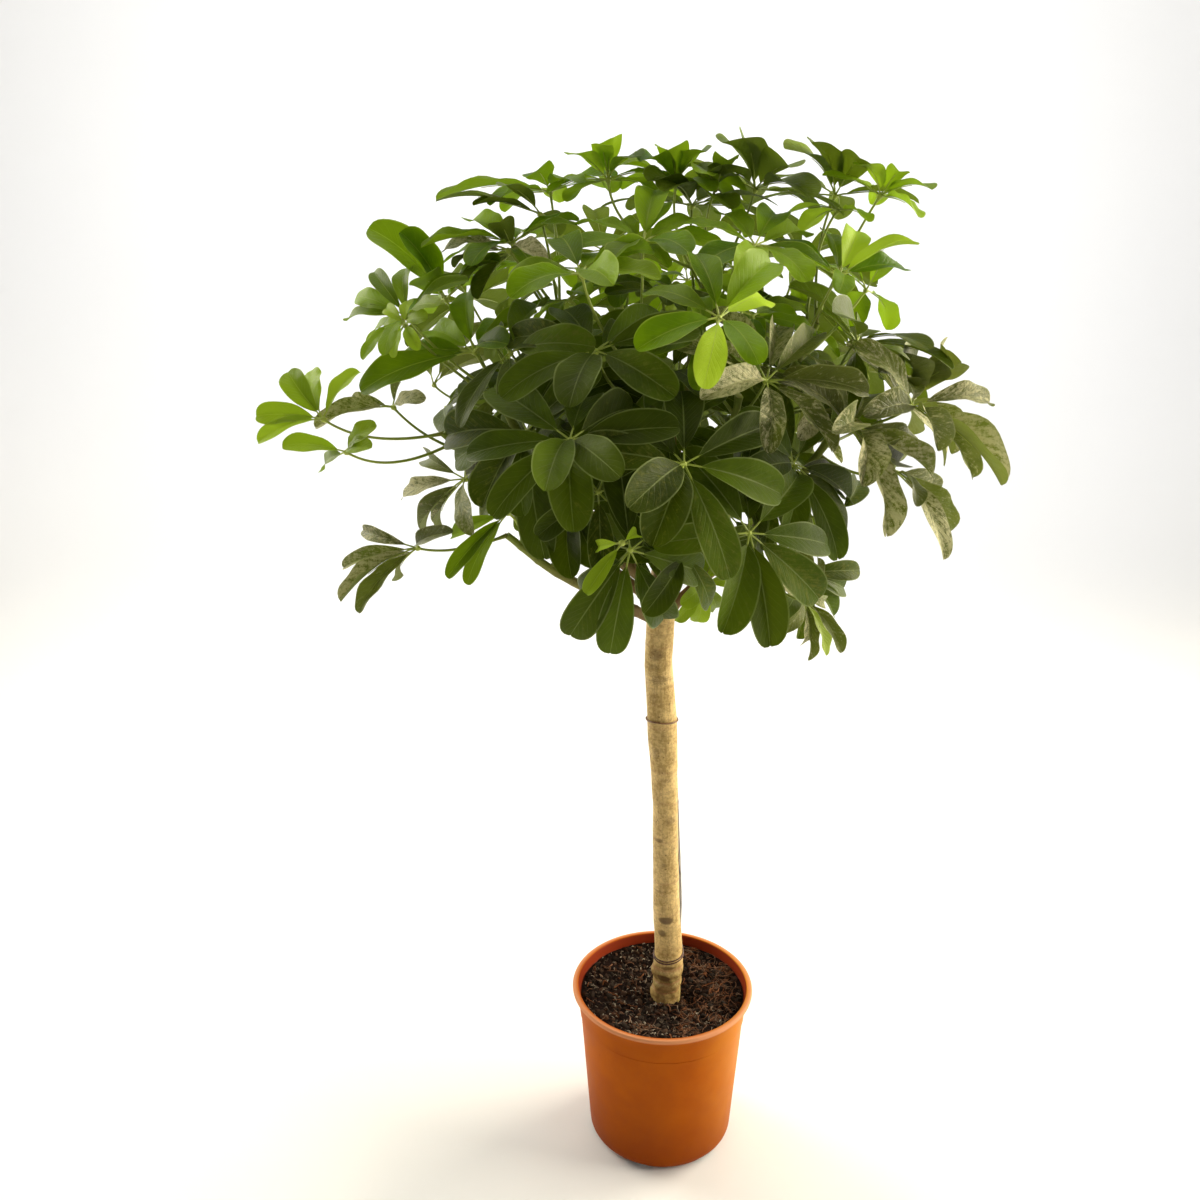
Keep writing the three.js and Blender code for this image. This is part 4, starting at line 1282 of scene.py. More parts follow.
@dataclass
class PottingSoil:
    """Peat with lumps, fibres and grit on its top.

    `hollow` is a dent beside the trunk: its place, depth and width. `tufts` are places in millimetres
    with a tangle of `strands` each, and `flecks` are short pale fibres, partly perlite and partly
    painted glints of wet peat on the left and front.
    """

    pot: NurseryPot
    edge_height: float = 168 * MM
    dip: float = 8 * MM
    lumps: int = 1500
    lump_sizes: tuple[float, float] = (0.8 * MM, 4.6 * MM)
    fibres: int = 260
    flecks: int = 560
    strands: int = 26
    rings: int = 70
    sides: int = 180
    trunk_place: tuple[float, float] = (5 * MM, 0.0)
    trunk_radius: float = 15 * MM
    hollow: tuple[float, float, float, float] = (27 * MM, -6 * MM, 5 * MM, 9 * MM)
    tufts: tuple[tuple[float, float], ...] = (
        (43, 42), (41, -23), (27, -40), (70, 36), (58, 12),
        (62, -14), (20, -62), (-20, -58), (30, 66), (52, -48),
    )  # fmt: skip
    tuft_radius: float = 13 * MM
    ground_tone: Tone = (0.0, 0.0, 0.15)
    seed: int = 11

    def top(self, x: float, y: float) -> float:
        """Height of the soil's top at a place.

        Args:
            x: place to the right, in metres.
            y: place to the back, in metres.

        Returns:
            The height, in metres.
        """
        share = math.hypot(x, y) / self.pot.top_radius
        place = Vector((x, y, 0.0))
        calm = 1.0 - 0.7 * smooth_step(0.88, 0.98, share)
        rough = noise.fractal(place * 60, 0.8, 2.0, 4) * 2.0 * MM * calm
        fine = noise.fractal(place * 260, 0.7, 2.0, 3) * 1.0 * MM * calm
        to_hollow = math.hypot(x - self.hollow[0], y - self.hollow[1])
        dent = self.hollow[2] * bell(to_hollow, self.hollow[3])
        return self.edge_height - self.dip * (1 - share * share) + rough + fine - dent

    def laid(self, x: float, y: float, lift: float = 0.0) -> Vector:
        """The place on the top there, or above it by the lift."""
        return Vector((x, y, self.top(x, y) + lift))

    def edge(self) -> float:
        """Radius of the top where it meets the pot's wall.

        Returns:
            The radius, in metres.
        """
        foot = self.pot.body_radius(self.pot.flare_foot)
        inner = self.pot.flare(foot, self.pot.rim_radius - self.pot.lip_depth)
        radius = next(r for r, z in inner if z >= self.edge_height)
        return radius - self.pot.wall - 1.0 * MM

    def spot(self, dice: random.Random) -> Vector:
        """A random place on the top, clear of the trunk.

        Args:
            dice: the seeded source of random numbers.

        Returns:
            The place.
        """
        while True:
            turn = dice.uniform(0, math.tau)
            reach = math.sqrt(dice.random()) * (self.edge() - 2.5 * MM)
            x, y = math.cos(turn) * reach, math.sin(turn) * reach
            if math.hypot(x - self.trunk_place[0], y - self.trunk_place[1]) > self.trunk_radius:
                return self.laid(x, y)

    def add_ground(self, maker: MeshMaker) -> None:
        """The filling itself, closed, with an uneven top.

        Args:
            maker: the mesh that is being made.
        """
        edge = self.edge()
        rings = []
        for r in range(1, self.rings + 1):
            level = circle(edge * r / self.rings, 0.0, self.sides)
            rings.append(maker.ring([self.laid(place.x, place.y) for place in level], self.ground_tone))
        inside = self.pot.corner_arc(self.pot.wall + 0.5 * MM, self.pot.floor + 0.5 * MM)[::-1]
        neck = self.pot.body_radius(self.pot.flare_foot) - self.pot.wall - 0.5 * MM
        for radius, height in [(edge, self.edge_height - 3 * MM), (neck, self.pot.flare_foot), *inside]:
            rings.append(maker.ring(circle(radius, height, self.sides)))
        maker.skin([ring[::-1] for ring in rings])
        maker.cap(rings[0], self.laid(0.0, 0.0), NO_TONE, 0, first=False)
        maker.cap(rings[-1], Vector((0.0, 0.0, inside[-1][1])), NO_TONE, 0, first=True)

    def add_lump(self, maker: MeshMaker, dice: random.Random, place: Vector, size: float, tone: Tone) -> None:
        """A crumb with bent faces, partly sunk into the ground.

        Args:
            maker: the mesh it goes into.
            dice: the soil's random numbers.
            place: its middle.
            size: its usual radius.
            tone: its tone.
        """
        spin = Matrix.Rotation(dice.uniform(0, math.tau), 3, "Z")
        turned = spin @ Matrix.Rotation(dice.uniform(-0.7, 0.7), 3, "X")
        stretch = Vector((dice.uniform(0.7, 1.5), dice.uniform(0.6, 1.1), dice.uniform(0.45, 0.9)))
        rings = []
        for row, tilt in enumerate((-0.88, 0.0, 0.88)):
            ring = []
            for k in range(6):
                turn = math.tau * (k + 0.5 * (row % 2)) / 6
                bulge = size * dice.uniform(0.72, 1.1)
                level = math.cos(tilt)
                out = Vector((math.cos(turn) * level, math.sin(turn) * level, math.sin(tilt)))
                ring.append(maker.point(place + turned @ (out * bulge * stretch), tone))
            rings.append(ring)
        maker.skin(rings)
        for ring, way in ((rings[0], -1), (rings[-1], 1)):
            tip = place + turned @ Vector((0.0, 0.0, way * size * stretch.z))
            maker.cap(ring, tip, tone, 0, first=way < 0)

    def add_fibre(
        self,
        maker: MeshMaker,
        dice: random.Random,
        place: Vector,
        length: float,
        thickness: float,
        tone: Tone,
    ) -> None:
        """A bent strand of peat or root hair that lies on the crumbs.

        Args:
            maker: the mesh it goes into.
            dice: the soil's random numbers.
            place: its middle, of which only the level place counts.
            length: its length. It ends early at the pot's wall.
            thickness: its thickness at the thick end.
            tone: its tone.
        """
        turn = dice.uniform(0, math.tau)
        bend = dice.uniform(-0.9, 0.9)
        steps = 6
        centres = []
        for i in range(steps + 1):
            share = i / steps - 0.5
            way = turn + bend * share
            x = place.x + math.cos(way) * length * share
            y = place.y + math.sin(way) * length * share
            if math.hypot(x, y) > self.edge() - MM:
                break
            lift = 1.6 * MM + math.cos(share * math.pi) * dice.uniform(0.3, 1.6) * MM
            centres.append(self.laid(x, y, lift))
        if len(centres) > 2:
            radii = [thickness / 2 * (1 - 0.6 * i / steps) for i in range(len(centres))]
            maker.tube(centres, radii, 5, [tone] * len(centres))

    def add_tufts(self, maker: MeshMaker, dice: random.Random) -> None:
        """Tangles of ochre fibre on the soil.

        Args:
            maker: the mesh that is being made.
            dice: the seeded source of random numbers.
        """
        for x, y in self.tufts:
            for _ in range(self.strands):
                turn, reach = dice.uniform(0, math.tau), dice.uniform(0, self.tuft_radius)
                beside = Vector((x * MM + math.cos(turn) * reach, y * MM + math.sin(turn) * reach, 0.0))
                tone = (dice.uniform(0.2, 1.0), 0.3 * dice.random() ** 2, 0.3)
                length, thickness = dice.uniform(6, 20) * MM, dice.uniform(0.35, 1.2) * MM
                self.add_fibre(maker, dice, beside, length, thickness, tone)

    def build(self, peat: bpy.types.Material) -> bpy.types.Object:
        """Makes the soil.

        Args:
            peat: the soil's finish.

        Returns:
            The finished piece.
        """
        dice = random.Random(self.seed)
        maker = MeshMaker()
        self.add_ground(maker)
        for _ in range(self.lumps):
            red = 0.3 * dice.random() ** 4
            size = blend(*self.lump_sizes, dice.random() ** 2.4)
            place = self.spot(dice)
            self.add_lump(maker, dice, place, size, (red, 0.05 * dice.random(), dice.random() * 0.4))
        for _ in range(self.flecks):
            place = self.spot(dice)
            # painted highlight: flecks on the left and front are paler, partly perlite and partly painted
            # glints
            grit_and_glint_side = place.x < 0.0 or place.y < -0.03
            pale = dice.uniform(0.15, 1.0) if grit_and_glint_side else dice.uniform(0.05, 0.35)
            length, thickness = dice.uniform(1.2, 4.5) * MM, dice.uniform(0.5, 1.4) * MM
            self.add_fibre(maker, dice, place, length, thickness, (0.15, pale * pale, 0.6))
        for _ in range(self.fibres):
            place = self.spot(dice)
            if place.x < 0.01 and dice.random() < 0.65:
                continue
            tone = (dice.uniform(0.25, 1.0), 0.3 * dice.random() ** 3, 0.3)
            is_short = dice.random() < 0.6
            length = dice.uniform(*((4, 11) if is_short else (7, 24))) * MM
            thickness = dice.uniform(*((0.8, 2.0) if is_short else (0.35, 0.8))) * MM
            self.add_fibre(maker, dice, place, length, thickness, tone)
        self.add_tufts(maker, dice)
        soil = maker.build("potting_soil", [peat])
        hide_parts("soil")
        return soil


# ---- trunk, cane and ties --------------------------------------------------------------------------


@dataclass(frozen=True)
class Station:
    """One level of the trunk, in millimetres: height, sideways place and radius."""

    z: float
    x: float
    radius: float


@dataclass(frozen=True)
class Scar:
    """A mark on the trunk's front.

    It is sighted in the view. Its half width and half height are in millimetres.
    """

    across: float
    down: float
    half_width: float
    half_height: float
    depth: float = 0.35
    dark: float = 1.0


@dataclass(frozen=True)
class Ring:
    """A ring round the trunk: its height and swelling in millimetres, and how brown it is."""

    z: float
    swell: float
    brown: float
    width: float = 1.6


STATIONS = tuple(Station(*row) for row in (
    (86, 6, 10), (118, 6, 14.5), (154, 4.5, 14.8), (165, 4.2, 14.9), (176, 4.5, 15.5), (186, 5.9, 14.7),
    (195, 5.3, 16.1), (206, 6, 15.3), (217, 6.2, 14.4), (232, 5.6, 14.2), (260, 3.2, 14), (312, 1.6, 13.1),
    (362, 0.1, 12.9), (387, -0.4, 12.5), (412, -1.5, 13), (436, -2.6, 13.7), (460, -4.2, 14.6),
    (483, -5.3, 14.6), (506, -7, 14), (541, -9.8, 13.5), (592, -8, 13.4), (632, -5, 13), (648, -4, 10.5),
))  # fmt: skip

SCARS = tuple(Scar(*row) for row in (
    (657, 655, 9, 7, 0.35, 0.5), (655, 667, 7, 4, 0.35, 0.4), (660, 680, 10, 6, 0.35, 0.42),
    (652, 700, 5, 10, 0.1, 0.3), (664, 735, 4, 9, 0.1, 0.3), (656, 755, 4, 9, 0.1, 0.4),
    (667, 781, 5, 3, 0.1, 0.45), (671, 822, 7, 6, 0.1, 0.45), (659, 842, 5, 2.5, 0.2, 0.6),
    (664, 866, 4, 3, 0.2, 0.5), (659, 893, 6, 2, 0.1, 0.45), (664, 901, 8, 3, 0.1, 0.3),
    (666, 921, 9, 5, 0.5, 1.0), (662, 934, 5, 5, 0.1, 0.7), (663.5, 978, 7.5, 4.5, 1.2, 1.3),
    (668, 968, 9, 3, 0.3, 0.7), (650, 760, 2, 3, 0.1, 0.5), (673, 850, 3, 7, 0.1, 0.35),
))  # fmt: skip

RINGS = tuple(Ring(*row) for row in (
    (604, 0.5, 0.9, 1.2), (478, 0.25, 0.35, 2.2), (214, 0.5, 0.2), (222, 0.2, 0.3), (229, 0.2, 0.25),
    (196, 0.9, 0.3, 4.5), (187, -1.3, 1.0, 1.8), (181, 1.0, 0.2, 3.2), (175, -1.4, 1.0, 1.5),
    (167, 0.7, 0.2, 4.0), (203, -0.8, 0.9, 1.3), (560, 0.15, 0.3), (520, 0.2, 0.3), (430, 0.2, 0.35),
    (395, 0.15, 0.3), (352, 0.2, 0.3), (305, 0.25, 0.45), (268, 0.2, 0.35),
))  # fmt: skip


@dataclass
class Trunk:
    """The bare trunk, with its rings, scars and knobbly foot, which fades out between two heights."""

    view: Standpoint
    sides: int = 60
    level_height: float = 1.3 * MM
    knobbly: tuple[float, float] = (196 * MM, 212 * MM)
    end_tone: Tone = (0.6, 0.2, 0.0)

    def middle(self, height: float) -> tuple[float, float]:
        """The trunk's sideways place and radius at a height, in metres.

        Args:
            height: height above the table, in metres.

        Returns:
            The sideways place and the radius.
        """
        z = clamp(height / MM, STATIONS[0].z, STATIONS[-1].z)
        above = next(i for i, s in enumerate(STATIONS) if i > 0 and s.z >= z)
        low, high = STATIONS[above - 1], STATIONS[above]
        share = (z - low.z) / (high.z - low.z)
        return blend(low.x, high.x, share) * MM, blend(low.radius, high.radius, share) * MM

    def rounded(self, height: float) -> tuple[float, float]:
        """The same, averaged over a short stretch so that no corner shows."""
        near = [self.middle(height + step * 5 * MM) for step in (-1, 0, 1)]
        return sum(n[0] for n in near) / 3, sum(n[1] for n in near) / 3

    def scar_places(self) -> list[tuple[Vector, Scar]]:
        """Where each scar lies on the bark."""
        return [(self.view.sight(s.across, s.down, self.middle(0.3)[1]), s) for s in SCARS]

    def surface(
        self, height: float, turn: float, scars: Iterable[tuple[Vector, Scar]]
    ) -> tuple[Vector, Tone]:
        """A point of the bark and its tone.

        Args:
            height: the point's height.
            turn: its angle round the trunk.
            scars: where the scars lie.

        Returns:
            The place and the tone.
        """
        x, radius = self.rounded(height)
        out = outwards(turn)
        place = Vector((x, 0.0, height)) + out * radius
        tilt = noise.noise(Vector((out.x, out.y, height * 12.0))) * 2.2 * MM
        swell, warm, dark = 0.0, 0.0, 0.0
        for ring in RINGS:
            away = (height + tilt) / MM - ring.z
            if abs(away) < ring.width * 3:
                rise = bell(away, ring.width)
                swell += ring.swell * rise * (0.75 + 0.5 * noise.noise(out * 1.7 + Vector((0, 0, ring.z))))
                warm += ring.brown * bell(away + ring.width * 0.6, max(0.9, ring.width * 0.5))
        if out.y < 0.0:
            for centre, scar in scars:
                across = (place.x - centre.x) / (scar.half_width * MM)
                up = (height - centre.z) / (scar.half_height * MM)
                if abs(across) < 1.6 and abs(up) < 1.6:
                    inside = 1.0 - smooth_step(0.55, 1.15, math.hypot(across, up))
                    dark = max(dark, inside * scar.dark)
                    swell -= scar.depth * inside
        rough = noise.fractal(Vector((place.x, place.y, height * 0.7)) * 90, 0.8, 2.0, 3) * 0.28
        knobbly = 1.0 - smooth_step(*self.knobbly, height)
        lumps = noise.fractal(place * 75, 0.9, 2.0, 3) * 1.6 * knobbly
        place += out * (swell + rough + lumps) * MM
        patch = noise.noise(place * 45)
        green = knobbly * (0.5 + 0.45 * patch) + 0.12 * smooth_step(0.0, 0.5, noise.noise(place * 18))
        warm += knobbly * 0.35 * smooth_step(-0.2, 0.5, noise.noise(place * 70 + Vector((9, 0, 0))))
        return place, (clamp(dark), clamp(warm, 0.0, 0.8), clamp(green))

    def add_to(self, maker: MeshMaker) -> None:
        """Adds the trunk to the mesh.

        Args:
            maker: the mesh that is being made.
        """
        low, high = STATIONS[0].z * MM, STATIONS[-1].z * MM
        levels = int((high - low) / self.level_height)
        scars = self.scar_places()
        rings = []
        for i in range(levels + 1):
            height = blend(low, high, i / levels)
            near = [s for s in scars if abs(s[0].z - height) < 12 * MM]
            ring = []
            for k in range(self.sides):
                place, tone = self.surface(height, math.tau * k / self.sides, near)
                ring.append(maker.point(place, tone))
            rings.append(ring)
        maker.skin(rings)
        for ring, height, first in ((rings[0], low, True), (rings[-1], high, False)):
            maker.cap(ring, Vector((self.middle(height)[0], 0.0, height)), self.end_tone, 0, first)


@dataclass
class SupportCane:
    """The thin cane behind the trunk, with nodes along it."""

    radius: float = 2.4 * MM
    path: tuple[tuple[float, float, float], ...] = (
        (12, 19.5, 60), (15, 18.5, 150), (17.6, 16, 240), (17.2, 15.6, 280),
        (13.6, 16.4, 350), (9.6, 18, 420), (4, 19.5, 480), (1, 19.5, 506),
    )  # fmt: skip
    node_spacing: float = 85 * MM
    node_width: float = 2 * MM
    node_swell: float = 0.16
    steps: int = 140
    sides: int = 14

    def places(self) -> list[Vector]:
        """The cane's middle, from its foot up."""
        path = [Vector(p) * MM for p in self.path]
        return [through(path, i / self.steps) for i in range(self.steps + 1)]

    def build(self, skin: bpy.types.Material) -> bpy.types.Object:
        """Makes the cane.

        Args:
            skin: the finish.

        Returns:
            The finished piece.
        """
        maker = MeshMaker()
        places = self.places()
        radii = []
        for place in places:
            to_node = abs((place.z / self.node_spacing) % 1.0 - 0.5) * self.node_spacing
            radii.append(self.radius * (1.0 + self.node_swell * bell(to_node, self.node_width)))
        maker.tube(places, radii, self.sides, [NO_TONE] * len(places))
        cane = maker.build("support_cane_skin", [skin])
        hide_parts("support_cane")
        return cane


@dataclass
class Tie:
    """A wire wound round trunk and cane.

    It starts at a height and rises by a pitch with each turn. Its sag tilts it front to back and its
    tilt side to side. `wire` is its radius.
    """

    name: str
    node: str
    trunk: Trunk
    cane: SupportCane
    height: float
    pitch: float
    turns: float
    wire: float
    sag: float
    tilt: float
    start: float = math.pi / 4
    turn_steps: int = 48
    sides: int = 8

    def outline(self, height: float, turn: float, cane_places: Sequence[Vector]) -> Vector:
        """A point on the tight outline of trunk and cane together.

        Args:
            height: the point's height.
            turn: its angle round the trunk.
            cane_places: the cane's middle, from its foot up.

        Returns:
            The middle of the wire there.
        """
        out = outwards(turn)
        x, radius = self.trunk.middle(height)
        cane = min(cane_places, key=lambda place: abs(place.z - height))
        round_trunk = Vector((x, 0.0, 0.0)).dot(out) + radius
        round_cane = Vector((cane.x, cane.y, 0.0)).dot(out) + self.cane.radius
        if round_trunk >= round_cane:
            return Vector((x, 0.0, height)) + out * (radius + self.wire)
        return Vector((cane.x, cane.y, height)) + out * (self.cane.radius + self.wire)

    def build(self, cord: bpy.types.Material) -> bpy.types.Object:
        """Makes the tie.

        Args:
            cord: the tie's finish.

        Returns:
            The finished piece.
        """
        places = self.cane.places()
        centres = []
        for i in range(int(self.turn_steps * self.turns) + 1):
            turn = self.start + math.tau * i / self.turn_steps
            waver = noise.noise(Vector((math.cos(turn), math.sin(turn), self.height * 9)) * 1.4) * 0.6 * MM
            height = self.height + self.pitch * i / self.turn_steps
            height += self.sag * math.sin(turn) + self.tilt * math.cos(turn) + waver
            centres.append(self.outline(height, turn, places))
        maker = MeshMaker()
        maker.tube(centres, [self.wire] * len(centres), self.sides, [NO_TONE] * len(centres))
        tie = maker.build(self.name, [cord])
        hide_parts(self.node)
        return tie


# ---- crown -----------------------------------------------------------------------------------------


class Age(Enum):
    """How old a leaf is, and so which finish it has."""

    OLD = "old"
    DUSTY = "dusty"
    YOUNG = "young"


Blades = dict[Age, bpy.types.Material]


@dataclass(frozen=True)
class BladeCut:
    """How the leaflets of one age are cut and bent, in shares of their length."""

    length: float
    width: float
    base_power: float
    tip_power: float
    fold: float
    rise: float
    ripple: float
    notch: float
    stalk: float = 0.14


CUTS = {
    Age.OLD: BladeCut(88 * MM, 0.335, 0.80, 0.45, 0.48, 0.14, 0.08, 0.010),
    Age.DUSTY: BladeCut(84 * MM, 0.275, 0.82, 0.50, 0.8, 0.17, 0.2, 0.018),
    Age.YOUNG: BladeCut(68 * MM, 0.375, 0.80, 0.44, 0.42, 0.15, 0.12, 0.0),
}


# How lime-coloured the stem of a leaf is.
STEM_LIME = {Age.OLD: 0.2, Age.DUSTY: 0.4, Age.YOUNG: 0.8}


@dataclass(frozen=True)
class LeafSpec:
    """One leaf on a branch.

    `on` is how far along the branch it leaves. Its hub is sighted in the view with its reach in
    millimetres before the trunk, or given as a place in millimetres. `lime` sights the tips of its
    yellowest leaflets, whose lime colour is partly painted glow of light shining through them, `fresh`
    is how yellow the others are, which on high old leaves is also painted light, and `broad` how broad
    its leaflets are against the usual. All leaflets of a whole one are sighted.
    """

    on: float
    age: Age
    hub: tuple[float, ...]
    reach: float | None = None
    length: float | None = None
    fresh: float | None = None
    lime: tuple[tuple[float, float], ...] = ()
    tips: tuple[tuple[float, float], ...] = ()
    broad: float = 1.0
    whole: bool = False


@dataclass(frozen=True)
class BranchSpec:
    """A branch's path in millimetres and the leaves on it."""

    name: str
    path: tuple[tuple[float, float, float], ...]
    leaves: tuple[LeafSpec, ...]


OLD, DUSTY, YOUNG = Age.OLD, Age.DUSTY, Age.YOUNG
BRANCHES = (
    BranchSpec("low_front", ((-7, 0, 603), (-8, -40, 629), (-8, -85, 672), (-4, -118, 711)), (
        LeafSpec(1, OLD, (684, 464), 205, tips=(
            (681, 391), (767, 426), (781, 494), (730, 579), (628, 509), (652, 547), (636, 429),
        )),
        LeafSpec(0.8, OLD, (630, 550), 180, tips=(
            (570, 636), (610, 654), (664, 619), (702, 573), (585, 598), (594, 540),
        )),
        LeafSpec(0.9, OLD, (749, 533), 180, tips=(
            (828, 545), (819, 599), (770, 647), (722, 634), (798, 474), (733, 480),
        )),
        LeafSpec(0.5, YOUNG, (702, 582), 95, 44, 0.8, tips=((716, 608), (697, 622), (680, 604))),
        LeafSpec(0.4, OLD, (640, 548), 60, 56, tips=((702, 578), (606, 511), (592, 566), (668, 512))),
    )),
    BranchSpec("front", ((-8, 0, 621), (-20, -42, 682), (-32, -78, 756), (-37, -92, 824)), (
        LeafSpec(0.8, OLD, (570, 440), 195, tips=(
            (493, 387), (634, 410), (621, 478), (574, 533), (591, 399), (545, 492),
        )),
        LeafSpec(0.88, OLD, (596, 351), 150, tips=(
            (569, 408), (521, 377), (509, 340), (575, 296), (638, 335),
        )),
        LeafSpec(1, YOUNG, (582, 275), 128, fresh=0.3, tips=((510, 298), (560, 238), (614, 286), (605, 255))),
        LeafSpec(0.94, YOUNG, (643, 243), 84, tips=(
            (578, 225), (660, 203), (700, 222), (690, 254), (655, 190),
        )),
        LeafSpec(0.7, OLD, (668, 375), 70, tips=((640, 440), (705, 398), (620, 372), (660, 425))),
    )),
    BranchSpec("front_right", ((-6, 0, 633), (18, -48, 695), (36, -90, 756), (46, -110, 810)), (
        LeafSpec(1, YOUNG, (719, 318), 208, 68, 0.1, ((706, 385), (765, 300)), tips=(
            (646, 292), (695, 254), (771, 262), (765, 300), (636, 350), (703, 389), (759, 365),
        ), whole=True),
        LeafSpec(0.86, DUSTY, (766, 381), 132, tips=(
            (818, 334), (801, 405), (868, 393), (775, 328), (700, 400),
        )),
        LeafSpec(0.94, YOUNG, (755, 246), 90, tips=(
            (806, 238), (776, 214), (742, 282), (720, 215), (700, 268),
        )),
    )),
    BranchSpec("left", ((-9, 0, 611), (-62, -30, 664), (-118, -52, 736), (-160, -60, 822)), (
        LeafSpec(0.7, OLD, (527, 431), 128, tips=(
            (524, 517), (482, 508), (455, 461), (447, 436), (545, 560),
        )),
        LeafSpec(1, YOUNG, (474, 352), 62, tips=((355, 377), (468, 292), (432, 330), (400, 362), (515, 322))),
        LeafSpec(0.93, YOUNG, (408, 318), 66, fresh=0.45, tips=(
            (347, 321), (356, 297), (374, 272), (408, 268), (440, 305), (368, 344),
        ), broad=0.65),
        LeafSpec(0.86, YOUNG, (446, 300), 6, fresh=0.0, tips=(
            (368, 228), (400, 232), (500, 262), (416, 290),
        ), broad=1.1),
    )),
    BranchSpec("far_left", ((-9, 0, 598), (-78, -10, 654), (-146, -20, 711), (-204, -30, 767)), (
        LeafSpec(1, YOUNG, (323, 419), 62, 56, 0.65, tips=((288, 372), (312, 370), (256, 416), (258, 443))),
        LeafSpec(0.95, YOUNG, (346, 452), 78, 48, 0.55, tips=(
            (325, 469), (377, 426), (372, 448), (282, 446),
        )),
        LeafSpec(0.9, DUSTY, (393, 407), 36, 52, tips=((412, 376), (426, 400), (350, 408), (318, 437))),
        LeafSpec(0.8, DUSTY, (465, 479), 62, tips=(
            (430, 458), (403, 497), (427, 535), (446, 530),
        ), broad=0.8),
    )),
    BranchSpec("low_left", ((-10, 0, 582), (-56, -34, 615), (-106, -62, 650), (-146, -78, 687)), (
        LeafSpec(1, DUSTY, (417, 548), 92, 72, tips=(
            (363, 530), (343, 568), (341, 602), (358, 613), (404, 575), (454, 532),
        ), broad=0.78),
        LeafSpec(0.9, YOUNG, (508, 513), 90, fresh=0.3, tips=(
            (447, 578), (467, 585), (452, 536),
        ), broad=0.62),
        LeafSpec(0.7, OLD, (574, 505), 96, tips=((542, 562), (572, 579), (600, 566))),
    )),
    BranchSpec("upper_left", ((-7, 0, 637), (-44, 12, 721), (-84, 14, 806), (-108, 6, 875)), (
        LeafSpec(1, YOUNG, (513, 243), 22, tips=((421, 248), (443, 264), (540, 280), (470, 222))),
        LeafSpec(0.92, YOUNG, (550, 192), -34, tips=((436, 201), (535, 172), (578, 184), (490, 206))),
    )),
    BranchSpec("top", ((-5, 0, 639), (4, 20, 736), (18, 30, 828), (30, 28, 900)), (
        LeafSpec(1, YOUNG, (608, 180), -10, 58, 0.35, tips=((568, 155), (600, 144), (614, 137), (641, 156))),
        LeafSpec(0.93, YOUNG, (676, 186), -20, tips=((640, 162), (668, 150), (706, 152), (712, 192))),
        LeafSpec(0.86, OLD, (755, 190), -24, fresh=0.2, tips=(
            (743, 138), (722, 143), (700, 176), (790, 168), (812, 200),
        )),
        LeafSpec(0.8, OLD, (692, 206), -32, fresh=0.15, tips=(
            (652, 160), (664, 192), (735, 174), (706, 232),
        )),
    )),
    BranchSpec("upper_right", ((-4, 0, 627), (42, 8, 707), (92, 6, 791), (124, -4, 859)), (
        LeafSpec(1, OLD, (835, 196), -38, fresh=0.25, tips=(
            (812, 142), (784, 149), (860, 158), (764, 182), (742, 202),
        )),
        LeafSpec(0.94, YOUNG, (880, 196), -4, 58, 0.4, tips=((900, 172), (932, 190), (918, 217), (858, 165))),
        LeafSpec(0.88, YOUNG, (838, 277), 62, fresh=0.15, lime=((858, 236), (905, 250)), tips=(
            (856, 231), (824, 233), (906, 270), (918, 245),
        )),
        LeafSpec(0.82, YOUNG, (866, 290), -50, 74, tips=((880, 262), (886, 330), (840, 330))),
    )),
    BranchSpec("right", ((-5, 0, 590), (46, -18, 646), (98, -40, 713), (140, -58, 781)), (
        LeafSpec(1, DUSTY, (849, 427), 96, tips=((919, 454), (932, 476), (886, 537), (862, 487), (822, 440))),
        LeafSpec(0.97, DUSTY, (912, 406), 62, tips=(
            (989, 405), (1001, 486), (972, 478), (938, 452), (862, 416),
        )),
        LeafSpec(0.94, OLD, (856, 342), 8, fresh=0.1, tips=((953, 370), (930, 350), (880, 380), (832, 312))),
        LeafSpec(0.86, DUSTY, (893, 470), 50, tips=((934, 499), (948, 533), (944, 560))),
        LeafSpec(0.72, OLD, (793, 464), 100, tips=((837, 492), (849, 500), (846, 537), (838, 560))),
        LeafSpec(0.52, DUSTY, (804, 600), 92, 52, lime=((826, 656),), tips=(
            (800, 646), (808, 661), (826, 656), (842, 653),
        )),
        LeafSpec(0.6, OLD, (800, 572), 40, 66, tips=((860, 570), (844, 588), (834, 616))),
        LeafSpec(0.9, DUSTY, (900, 400), -20, tips=(
            (951, 374), (926, 352), (903, 352), (868, 372),
        ), broad=1.3),
    )),
    BranchSpec("back", ((-6, 4, 621), (-14, 58, 695), (-26, 104, 775), (-34, 128, 844)), (
        LeafSpec(1, OLD, (-62, 226, 918)),
        LeafSpec(0.92, OLD, (26, 214, 888)),
        LeafSpec(0.84, OLD, (-46, 262, 832)),
        LeafSpec(0.6, OLD, (4, 232, 736)),
    )),
    BranchSpec("back_left", ((-9, 3, 605), (-60, 44, 654), (-110, 84, 724), (-142, 106, 791)), (
        LeafSpec(1, OLD, (-196, 146, 871)),
        LeafSpec(0.92, DUSTY, (-232, 120, 791)),
        LeafSpec(0.82, OLD, (-158, 208, 777)),
        LeafSpec(0.6, OLD, (-122, 176, 676)),
    )),
    BranchSpec("back_right", ((-3, 3, 611), (40, 46, 672), (78, 84, 748), (98, 104, 820)), (
        LeafSpec(1, OLD, (132, 142, 910)),
        LeafSpec(0.92, OLD, (188, 128, 822)),
        LeafSpec(0.82, OLD, (122, 208, 791)),
        LeafSpec(0.6, OLD, (112, 150, 687)),
    )),
)  # fmt: skip

